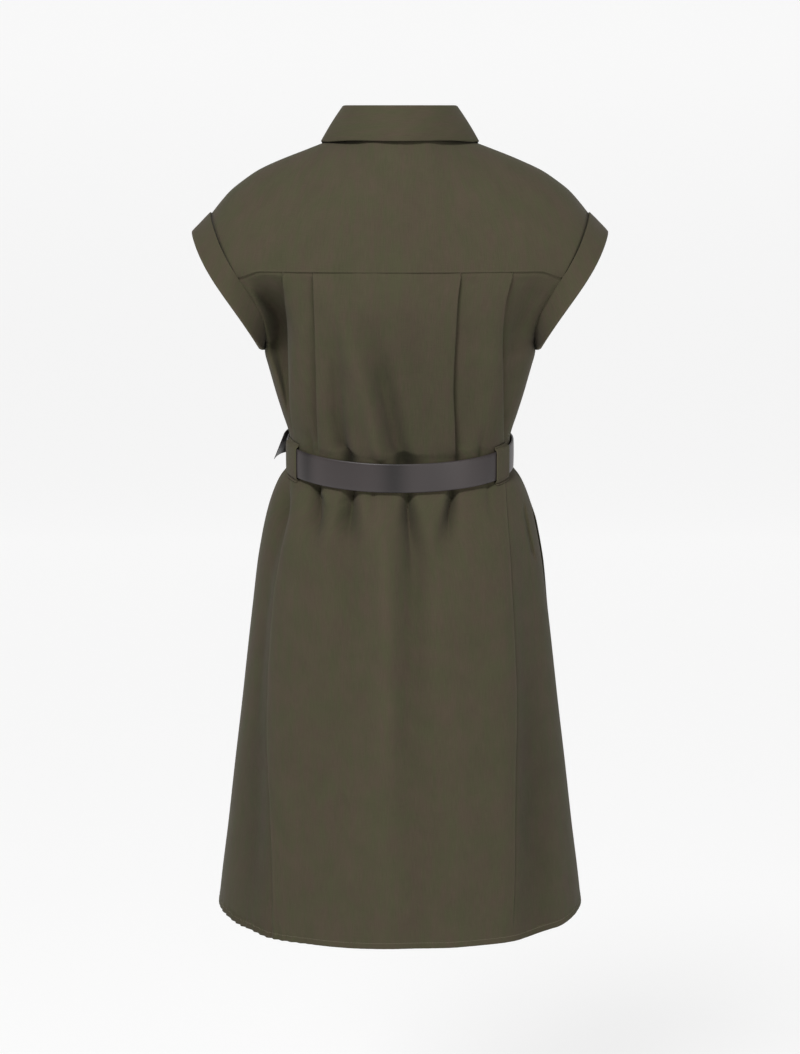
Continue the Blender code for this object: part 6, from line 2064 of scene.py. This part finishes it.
@dataclass
class Stitching:
    """Rows of machine stitches.

    Attributes:
        pitch: From one stitch to the next.
        length: Length of a stitch that shows.
    """

    pitch: float = 3.0
    length: float = 2.4
    radius: float = 0.25

    def build(self, name: str, paths: Sequence[tuple[Array, Array]], thread: Material) -> Thing:
        """Lay a stitch at every pitch along the paths."""
        sizes = {"Pitch": self.pitch * MM, "Length": self.length * MM, "Radius": self.radius * MM}
        graph = NodeGraph(f"{name}_nodes", sizes)
        given = graph.inlet.outputs
        curve = graph.add("GeometryNodeMeshToCurve", {"Mesh": given["Geometry"]})
        points = graph.add("GeometryNodeCurveToPoints", mode="LENGTH")
        graph.feed(points, {"Curve": curve.outputs["Curve"], "Length": given["Pitch"]})
        turn = graph.add("FunctionNodeAlignRotationToVector", {"Vector": points.outputs["Tangent"]}, axis="Z")
        bead = graph.add("GeometryNodeMeshUVSphere", {"Segments": 6, "Rings": 5, "Radius": 1.0})
        half = graph.add("ShaderNodeMath", {0: given["Length"], 1: 0.5}, operation="MULTIPLY")
        scale = graph.add("ShaderNodeCombineXYZ", {
            "X": given["Radius"], "Y": given["Radius"], "Z": half.outputs[0]})
        laid = graph.add("GeometryNodeInstanceOnPoints", {
            "Points": points.outputs["Points"], "Instance": bead.outputs["Mesh"],
            "Rotation": turn.outputs[0], "Scale": scale.outputs[0]})
        graph.finish(laid.outputs[0], thread)
        thing = graph.make(name, path_mesh(f"{name}_paths", paths), **sizes)
        thing.data.shade_smooth()
        return thing


@dataclass
class Buttons:
    """Flat four-hole buttons down the front, and one on the collar stand."""

    skin: FrontSkin = field(default_factory=FrontSkin)
    collar: Collar = field(default_factory=Collar)
    radius: float = 5.75
    thick: float = 2.6
    lift: float = 1.25
    steps: int = 28
    dish: float = 0.5
    hole: float = 0.62
    hole_place: float = 1.45
    collar_out: float = 1.85
    heights: tuple[float, ...] = (-96.0, -165.0, -235.0, -305.0, -450.0, -535.0, -620.0, -705.0)

    def places(self) -> tuple[Array, Array]:
        """Where the buttons sit and which way they face."""
        heights = np.array(self.heights)
        points, normals = self.skin.place(np.zeros(len(heights)), heights, np.full(len(heights), self.lift))
        outward, base, height = self.collar.sizes(np.array([-math.pi]))
        collar = base + UP * 0.5 * height[:, None] + outward * self.collar_out
        return np.concatenate((points, collar)), np.concatenate((normals, outward))

    def blank(self, material: Material, shade: Material) -> Thing:
        """Turn one button from its profile, with its four holes as sunk rounds in a dark material: painted
        shade for their depth.
        """
        top, rim = self.thick, self.radius
        profile = ((rim - 3.1, top - self.dish), (rim - 2.3, top - self.dish * 0.7), (rim - 1.8, top - 0.08),
                   (rim - 1.2, top), (rim - 0.6, top - 0.12), (rim - 0.15, top - 0.5), (rim, top - 1.1),
                   (rim - 0.1, 0.7), (rim - 0.5, 0.15), (rim - 1.2, 0.0))
        turn = np.arange(self.steps) / self.steps * 2.0 * math.pi
        points: list[Triple] = []
        faces: list[list[int]] = []
        for reach, height in profile:
            points.extend((reach * math.cos(a), reach * math.sin(a), height) for a in turn)
        for ring in range(len(profile) - 1):
            for step in range(self.steps):
                near, far = ring * self.steps, (ring + 1) * self.steps
                after = (step + 1) % self.steps
                faces.append([near + step, far + step, far + after, near + after])
        faces.append(list(range(self.steps)))
        last = (len(profile) - 1) * self.steps
        faces.append([last + step for step in reversed(range(self.steps))])
        body_faces = len(faces)
        for corner in range(4):
            middle = math.pi / 4 + corner * math.pi / 2
            x, y = (self.hole_place * f(middle) for f in (math.cos, math.sin))
            start = len(points)
            for radius, height in ((self.hole, top - self.dish + 0.02), (0.0, top - self.dish + 0.03)):
                points.extend((x + radius * math.cos(a), y + radius * math.sin(a), height) for a in turn[::3])
            count = len(turn[::3])
            faces.extend([start + step, start + (step + 1) % count, start + count] for step in range(count))
        mesh = bpy.data.meshes.new("button_blank")
        mesh.from_pydata([tuple(value * MM for value in point) for point in points], [], faces)
        mesh.materials.append(material)
        mesh.materials.append(shade)
        for number, face in enumerate(mesh.polygons):
            face.material_index = int(number >= body_faces)
        mesh.shade_smooth()
        return add_object("button_blank", mesh)

    def build(self, name: str, material: Material, shade: Material) -> Thing:
        """Set a button at every place."""
        blank = self.blank(material, shade)
        graph = NodeGraph("button_nodes", {"Scale": 1.0})
        given = graph.inlet.outputs
        points = graph.add("GeometryNodeMeshToPoints", {"Mesh": given["Geometry"]})
        facing = graph.add("GeometryNodeInputNamedAttribute", {"Name": FACING}, data_type="FLOAT_VECTOR")
        turn = graph.add("FunctionNodeAlignRotationToVector", {"Vector": facing.outputs[0]}, axis="Z")
        button = graph.add("GeometryNodeObjectInfo", {"Object": blank})
        laid = graph.add("GeometryNodeInstanceOnPoints", {
            "Points": points.outputs["Points"], "Instance": button.outputs["Geometry"],
            "Rotation": turn.outputs[0], "Scale": given["Scale"]})
        graph.finish(laid.outputs[0])
        thing = graph.make(name, path_mesh("button_places", [self.places()], edges=False))
        bpy.data.objects.remove(blank)
        return thing

    def thread_lines(self) -> list[tuple[Array, Array]]:
        """The two crossed threads of each button, as short lines through its holes."""
        lines = []
        for point, facing in zip(*self.places()):
            across = unit(np.cross(UP, facing))
            upward = np.cross(facing, across)
            for x, y in ((0.707, 0.707), (0.707, -0.707)):
                way = across * x + upward * y
                reach = np.linspace(-1.0, 1.0, 7)[:, None]
                bow = self.thick - self.dish + 0.1 + 0.35 * (1.0 - reach**2)
                lines.append((point + facing * bow + way * reach * self.hole_place, np.tile(facing, (7, 1))))
        return lines


# ---------------------------------------------------------------- finishes
WHITE = (1.0, 1.0, 1.0, 1.0)


def srgb(red: int, green: int, blue: int) -> Colour:
    """A colour given as eight-bit values, made linear."""
    shares = [value / 255.0 for value in (red, green, blue)]
    linear = [((v + 0.055) / 1.055) ** 2.4 if v > 10.0 / 255.0 else v / 12.92 for v in shares]
    return (*linear, 1.0)


def new_material(name: str) -> tuple[Material, bpy.types.Node]:
    """A material with one Principled shader."""
    material = bpy.data.materials.new(name)
    material.use_nodes = True
    return material, material.node_tree.nodes["Principled BSDF"]


class ShadeGraph(Graph):
    """A shader node group in the making."""

    def __init__(self, name: str, outputs: Sequence[str], inputs: dict[str, float]) -> None:
        """Start a group.

        Args:
            name: Name of the group.
            outputs: Names of its value outputs.
            inputs: Names and defaults of its value inputs.
        """
        super().__init__(bpy.data.node_groups.new(name, "ShaderNodeTree"))
        self.socket("Vector", "INPUT", "Vector")
        for key, default in inputs.items():
            self.socket(key, "INPUT", "Float", default)
        for key in outputs:
            self.socket(key, "OUTPUT", "Float")
        self.open_ends()

    def math(self, operation: str, *values: Socket | float) -> Socket:
        """A sum of sockets and numbers."""
        return self.add("ShaderNodeMath", dict(enumerate(values)), operation=operation).outputs[0]

    def noise(self, stretch: Triple, detail: float) -> Socket:
        """Noise on the group's vector, with so many spots a metre each way."""
        place = self.add("ShaderNodeMapping", {"Vector": self.inlet.outputs["Vector"], "Scale": stretch})
        spots = {"Vector": place.outputs[0], "Scale": 1.0, "Detail": detail}
        return self.add("ShaderNodeTexNoise", spots).outputs[0]


def weave_group() -> bpy.types.NodeTree:
    """A plain weave of uneven yarns: its shade, about 1, its height, and its hue from 0 to 1."""
    graph = ShadeGraph("plain_weave", ("Shade", "Height", "Hue"),
                       {"Pitch": 0.0006, "Slubs": 0.24, "Cloudiness": 0.2, "Depth": 0.05})
    given = graph.inlet.outputs
    split = graph.add("ShaderNodeSeparateXYZ", {0: given["Vector"]})
    ribs = []
    for axis in ("X", "Y"):
        turns = graph.math("DIVIDE", split.outputs[axis], given["Pitch"])
        ribs.append(graph.math("SINE", graph.math("MULTIPLY", turns, math.pi)))
    cells = graph.math("MULTIPLY", *ribs)
    warp = graph.math("SUBTRACT", graph.noise((1100.0, 62.0, 1.0), 1.0), 0.5)
    weft = graph.math("SUBTRACT", graph.noise((70.0, 1300.0, 1.0), 1.0), 0.5)
    yarns = graph.math("ADD", warp, graph.math("MULTIPLY", weft, 0.6))
    clouds = graph.math("SUBTRACT", graph.noise((34.0, 26.0, 1.0), 3.0), 0.5)
    shade: Socket | float = 1.0
    for part, strength in ((yarns, "Slubs"), (clouds, "Cloudiness"), (cells, "Depth")):
        shade = graph.math("ADD", shade, graph.math("MULTIPLY", part, given[strength]))
    height = graph.math("ADD", graph.math("MULTIPLY", cells, 0.35), yarns)
    hue = graph.math("ADD", graph.noise((150.0, 16.0, 1.0), 2.0), graph.noise((22.0, 30.0, 1.0), 2.0))
    hue = graph.math("MULTIPLY_ADD", graph.math("SUBTRACT", hue, 1.0), 2.2, 0.5)
    graph.feed(graph.outlet, {"Shade": shade, "Height": height, "Hue": hue})
    return graph.tree


@dataclass(frozen=True)
class ClothFinish:
    """Woven cotton: matt, finely slubbed, with painted highlights on its pressed edges and painted shade in
    its hollows.

    Attributes:
        paler: How much the mesh's painted light and shade add to the weave's shade.
        redder: How far the yarns' hue strays each way, for red, green and blue.
    """

    name: str
    colour: Colour
    rough: float = 0.86
    sheen: float = 0.04
    paler: float = 0.2
    sheen_rough: float = 0.6
    specular: float = 0.12
    bump: float = 0.28
    bump_depth: float = 0.00025
    redder: Triple = (1.06, 0.97, 1.06)

    def build(self, weave: bpy.types.NodeTree) -> Material:
        """Make the material.

        Args:
            weave: The shared weave group.

        Returns:
            The material.
        """
        material, shader = new_material(self.name)
        graph = Graph(material.node_tree)
        place = graph.add("ShaderNodeUVMap", uv_map=CLOTH_MAP)
        woven = graph.add("ShaderNodeGroup", node_tree=weave)
        graph.feed(woven, {"Vector": place.outputs[0]})
        hues = graph.add("ShaderNodeMix", data_type="VECTOR")
        graph.feed(hues, {
            "Factor": woven.outputs["Hue"],
            "A": [part * shift for part, shift in zip(self.colour, self.redder)],
            "B": [part / shift for part, shift in zip(self.colour, self.redder)]})
        bump = graph.add("ShaderNodeBump", {
            "Strength": self.bump, "Distance": self.bump_depth, "Height": woven.outputs["Height"]})
        graph.feed(shader, {
            "Base Color": graph.paint_shading(hues.outputs["Result"], woven.outputs["Shade"], self.paler),
            "Normal": bump.outputs[0], "Roughness": self.rough, "Specular IOR Level": self.specular,
            "Sheen Weight": self.sheen, "Sheen Roughness": self.sheen_rough})
        return material


@dataclass(frozen=True)
class PlainFinish:
    """One even colour with a grain of its own.

    Attributes:
        grain: Height of its grain in millimetres.
        grain_size: Size of a grain in millimetres.
        glow: Light that it gives off, as a lit paper sweep does.
    """

    name: str
    colour: Colour
    rough: float
    metal: float = 0.0
    coat: float = 0.0
    grain: float = 0.0
    grain_size: float = 1.0
    glow: float = 0.0

    def build(self) -> Material:
        """Make the material."""
        material, shader = new_material(self.name)
        graph = Graph(material.node_tree)
        graph.feed(shader, {
            "Base Color": self.colour, "Emission Color": WHITE, "Emission Strength": self.glow,
            "Roughness": self.rough, "Metallic": self.metal, "Coat Weight": self.coat})
        if self.grain > 0.0:
            place = graph.add("ShaderNodeTexCoord")
            noise = graph.add("ShaderNodeTexNoise", {
                "Vector": place.outputs["Object"], "Scale": 1.0 / (self.grain_size * MM), "Detail": 3.0})
            bump = graph.add("ShaderNodeBump", {"Distance": self.grain * MM, "Height": noise.outputs[0]})
            graph.feed(shader, {"Normal": bump.outputs[0]})
        return material


@dataclass(frozen=True)
class PaintedSheenFinish(PlainFinish):
    """A smooth skin whose colour the mesh's painted light makes paler or darker, as painted sheen."""

    paler: float = 1.0

    def build(self) -> Material:
        """Make the material."""
        material = super().build()
        graph = Graph(material.node_tree)
        shader = graph.tree.nodes["Principled BSDF"]
        graph.feed(shader, {"Base Color": graph.paint_shading(self.colour[:3], 1.0, self.paler)})
        return material


# ---------------------------------------------------------------- the studio
@dataclass(frozen=True)
class Studio:
    """A pale sweep, soft lights and the camera behind the dress.

    Attributes:
        near: Where the floor begins, behind the camera.
        far: Where it has turned up into the wall.
        radius: Radius of that turn.
        lit: Place towards which the lights shine.
        key: Place of the key light, with its size and power.
        fill: The same of the fill light.
        air: Strength of the light from all round.
        paper: Grey of the sweep, with the light that it gives off.
    """

    floor: float = -1.45
    half_width: float = 12.0
    near: float = 10.0
    far: float = -6.5
    radius: float = 1.5
    wall: float = 7.0
    camera_place: Triple = (0.0, 3.10, 0.12)
    aim: Triple = (0.0, 0.0, -0.463)
    lens: float = 89.78
    sensor: float = 36.0
    lit: Triple = (0.0, 0.0, -0.45)
    key: tuple[Triple, float, float] = ((1.05, 2.65, 3.2), 1.15, 144.0)
    fill: tuple[Triple, float, float] = ((-1.7, 3.0, 0.4), 2.4, 24.0)
    air: float = 0.22
    paper: Pair = (0.3, 0.74)

    def backdrop(self, material: Material) -> Thing:
        """Make the floor that sweeps up into a wall."""
        bend = [(self.far + self.radius * (1.0 - math.sin(a)), self.floor + self.radius * (1.0 - math.cos(a)))
                for a in np.linspace(0.0, math.pi / 2, 17)]
        line = [(self.near, self.floor), *bend, (self.far, self.floor + self.wall)]
        points = [(x, y, z) for y, z in line for x in (-self.half_width, self.half_width)]
        faces = [(2 * n, 2 * n + 1, 2 * n + 3, 2 * n + 2) for n in range(len(line) - 1)]
        mesh = bpy.data.meshes.new("backdrop")
        mesh.from_pydata(points, [], faces)
        mesh.materials.append(material)
        mesh.shade_smooth()
        return add_object("backdrop", mesh)

    def point(self, thing: Thing, place: Sequence[float], aim: Sequence[float]) -> None:
        """Put a light or camera in its place and turn it towards its aim."""
        thing.location = place
        thing.rotation_euler = (Vector(aim) - Vector(place)).to_track_quat("-Z", "Y").to_euler()

    def light(self, name: str, place: Triple, size: float, power: float) -> Thing:
        """Set up a square soft light aimed at the dress."""
        lamp = bpy.data.lights.new(name, "AREA")
        lamp.size = size
        lamp.energy = power
        thing = add_object(name, lamp)
        self.point(thing, place, self.lit)
        return thing

    def build(self) -> None:
        """Set up the sweep, the lights, the world and the camera."""
        scene = bpy.context.scene
        grey, glow = self.paper
        pale = PlainFinish("backdrop_paper", (grey, grey, grey, 1.0), 1.0, glow=glow).build()
        world = bpy.data.worlds.new("studio_air")
        world.use_nodes = True
        air = world.node_tree.nodes["Background"]
        air.inputs["Color"].default_value = WHITE
        air.inputs["Strength"].default_value = self.air
        scene.world = world
        scene.view_settings.view_transform = "Standard"
        self.backdrop(pale)
        self.light("key", *self.key)
        self.light("fill", *self.fill)
        eye = bpy.data.cameras.new("camera")
        eye.lens = self.lens
        eye.sensor_width = self.sensor
        scene.camera = add_object("camera", eye)
        self.point(scene.camera, self.camera_place, self.aim)


# ---------------------------------------------------------------- the dress
@dataclass(frozen=True)
class Cut:
    """Flat size of a cloth piece.

    Attributes:
        area: Flat area in square metres, where it isn't a rectangle.
        held: How it is held.
        rests_on: The solids that it rests on.
    """

    width: float
    length: float
    area: float | None
    held: str
    rests_on: tuple[str, ...]

    def declare(self, piece: Thing) -> None:
        """Does nothing with the piece, and only makes a list of the solids it rests on."""
        list(self.rests_on)


class Dress:
    """The whole dress, built piece by piece."""

    def __init__(self) -> None:
        """Make the finishes that its pieces share."""
        weave = weave_group()
        self.cloth = ClothFinish("khaki_cotton", srgb(76, 71, 55)).build(weave)
        # the thread's own pale khaki, raised further as a painted highlight on the stitches
        self.thread = PlainFinish("khaki_thread", srgb(116, 109, 91), 0.8).build()
        # belt leather, with painted sheen bands
        self.skin = PaintedSheenFinish("belt_leather", srgb(60, 54, 54), 0.42, grain=0.04, grain_size=0.9).build()
        self.button = PlainFinish("horn_button", srgb(70, 60, 48), 0.35, coat=0.3).build()
        # dark discs in the buttons' holes: painted shade for their depth
        self.hole = PlainFinish("button_hole_painted_shade", srgb(20, 17, 14), 0.8).build()
        self.metal = PlainFinish("brushed_metal", srgb(150, 140, 122), 0.32, metal=1.0).build()

    def panels(self) -> None:
        """Build the back, the fronts, the yoke and the cuffs."""
        back = BackPanel()
        piece = place_piece(back.build(self.cloth), Slot.CLOTH, "back")
        Cut(0.60, 0.80, 0.407, "hung", ("yoke",)).declare(piece)
        fronts = (FrontPanel("front_left_panel", 1, (16.0, 2.0, -12.0), 1.6),
                  FrontPanel("front_right_panel", -1, (15.0,), 0.0))
        for front, node in zip(fronts, ("front_left", "front_right")):
            piece = place_piece(front.build(self.cloth, back.hem_form), Slot.CLOTH, node)
            Cut(0.31, 0.93, 0.222, "hung", ("yoke",)).declare(piece)
        piece = place_piece(Yoke().build(self.cloth), Slot.CLOTH, "yoke")
        Cut(0.44, 0.25, 0.087, "hung", ("collar_stand",)).declare(piece)
        for node, hand in (("cuff_left", 1), ("cuff_right", -1)):
            piece = place_piece(Cuff(f"{node}_band", hand).build(self.cloth), Slot.CLOTH, node)
            Cut(0.42, 0.072, None, "folded", ("yoke",)).declare(piece)
        self.stitch_paths = [back.hem_path(), *(front.hem_line for front in fronts)]

    def closure(self) -> None:
        """Build the collar, the button band and the buttons."""
        collar, band, buttons = Collar(), ButtonBand(), Buttons()
        piece = place_piece(collar.build_stand(self.cloth), Slot.CLOTH, "collar_stand")
        Cut(0.42, 0.030, None, "folded", ("yoke",)).declare(piece)
        piece = place_piece(collar.build_fall(self.cloth), Slot.CLOTH, "collar_fall")
        Cut(0.56, 0.062, 0.0287, "folded", ("collar_stand",)).declare(piece)
        piece = place_piece(band.build(self.cloth), Slot.CLOTH, "placket")
        Cut(0.030, 0.905, None, "folded", ("front_right",)).declare(piece)
        nodes = [f"button_{number}" for number in range(1, 9)]
        place_piece(buttons.build("buttons", self.button, self.hole), Slot.BUTTON, *nodes, "button_collar")
        fine = Stitching(pitch=0.45, length=0.62, radius=0.16)
        place_piece(fine.build("button_thread", buttons.thread_lines(), self.thread), Slot.CLOTH)
        self.stitch_paths.extend(band.stitch_lines())

    def waist(self) -> None:
        """Build the belt and its loops, and give the buckle's solids their finish."""
        belt = Belt()
        place_piece(belt.build_band(self.skin), Slot.BELT, "belt")
        place_piece(belt.build_tail(self.skin), Slot.BELT, "belt_tail")
        for node, angle, width in (("belt_loop_left", 70.5, 31.0), ("belt_loop_right", -61.5, 24.5)):
            loop = belt.build_loop(f"{node}_strip", math.radians(angle), width, self.cloth)
            place_piece(loop, Slot.CLOTH, node)
            Cut(width * MM, 0.052, None, "folded", ("belt",)).declare(loop)
        for node in ("buckle_frame", "buckle_prong"):
            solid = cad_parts[node]
            solid.data.materials.clear()
            solid.data.materials.append(self.metal)

    def pockets(self) -> None:
        """Build the side pockets."""
        for name, hand in (("left", 1), ("right", -1)):
            pocket = Pocket(f"pocket_{name}_bag", hand)
            piece = place_piece(pocket.build(self.cloth), Slot.POCKET, f"pocket_{name}")
            Cut(0.11, 0.216, 0.0182, "folded", (f"front_{name}",)).declare(piece)

    def sewing(self) -> None:
        """Lay the stitches."""
        place_piece(Stitching().build("edge_stitches", self.stitch_paths, self.thread), Slot.CLOTH)


def main() -> None:
    """Build the dress and the studio in order."""
    logging.basicConfig(level=logging.INFO, format="%(message)s")
    dress = Dress()
    dress.panels()
    dress.closure()
    dress.waist()
    dress.pockets()
    dress.sewing()
    Studio().build()


if __name__ == "__main__":
    main()
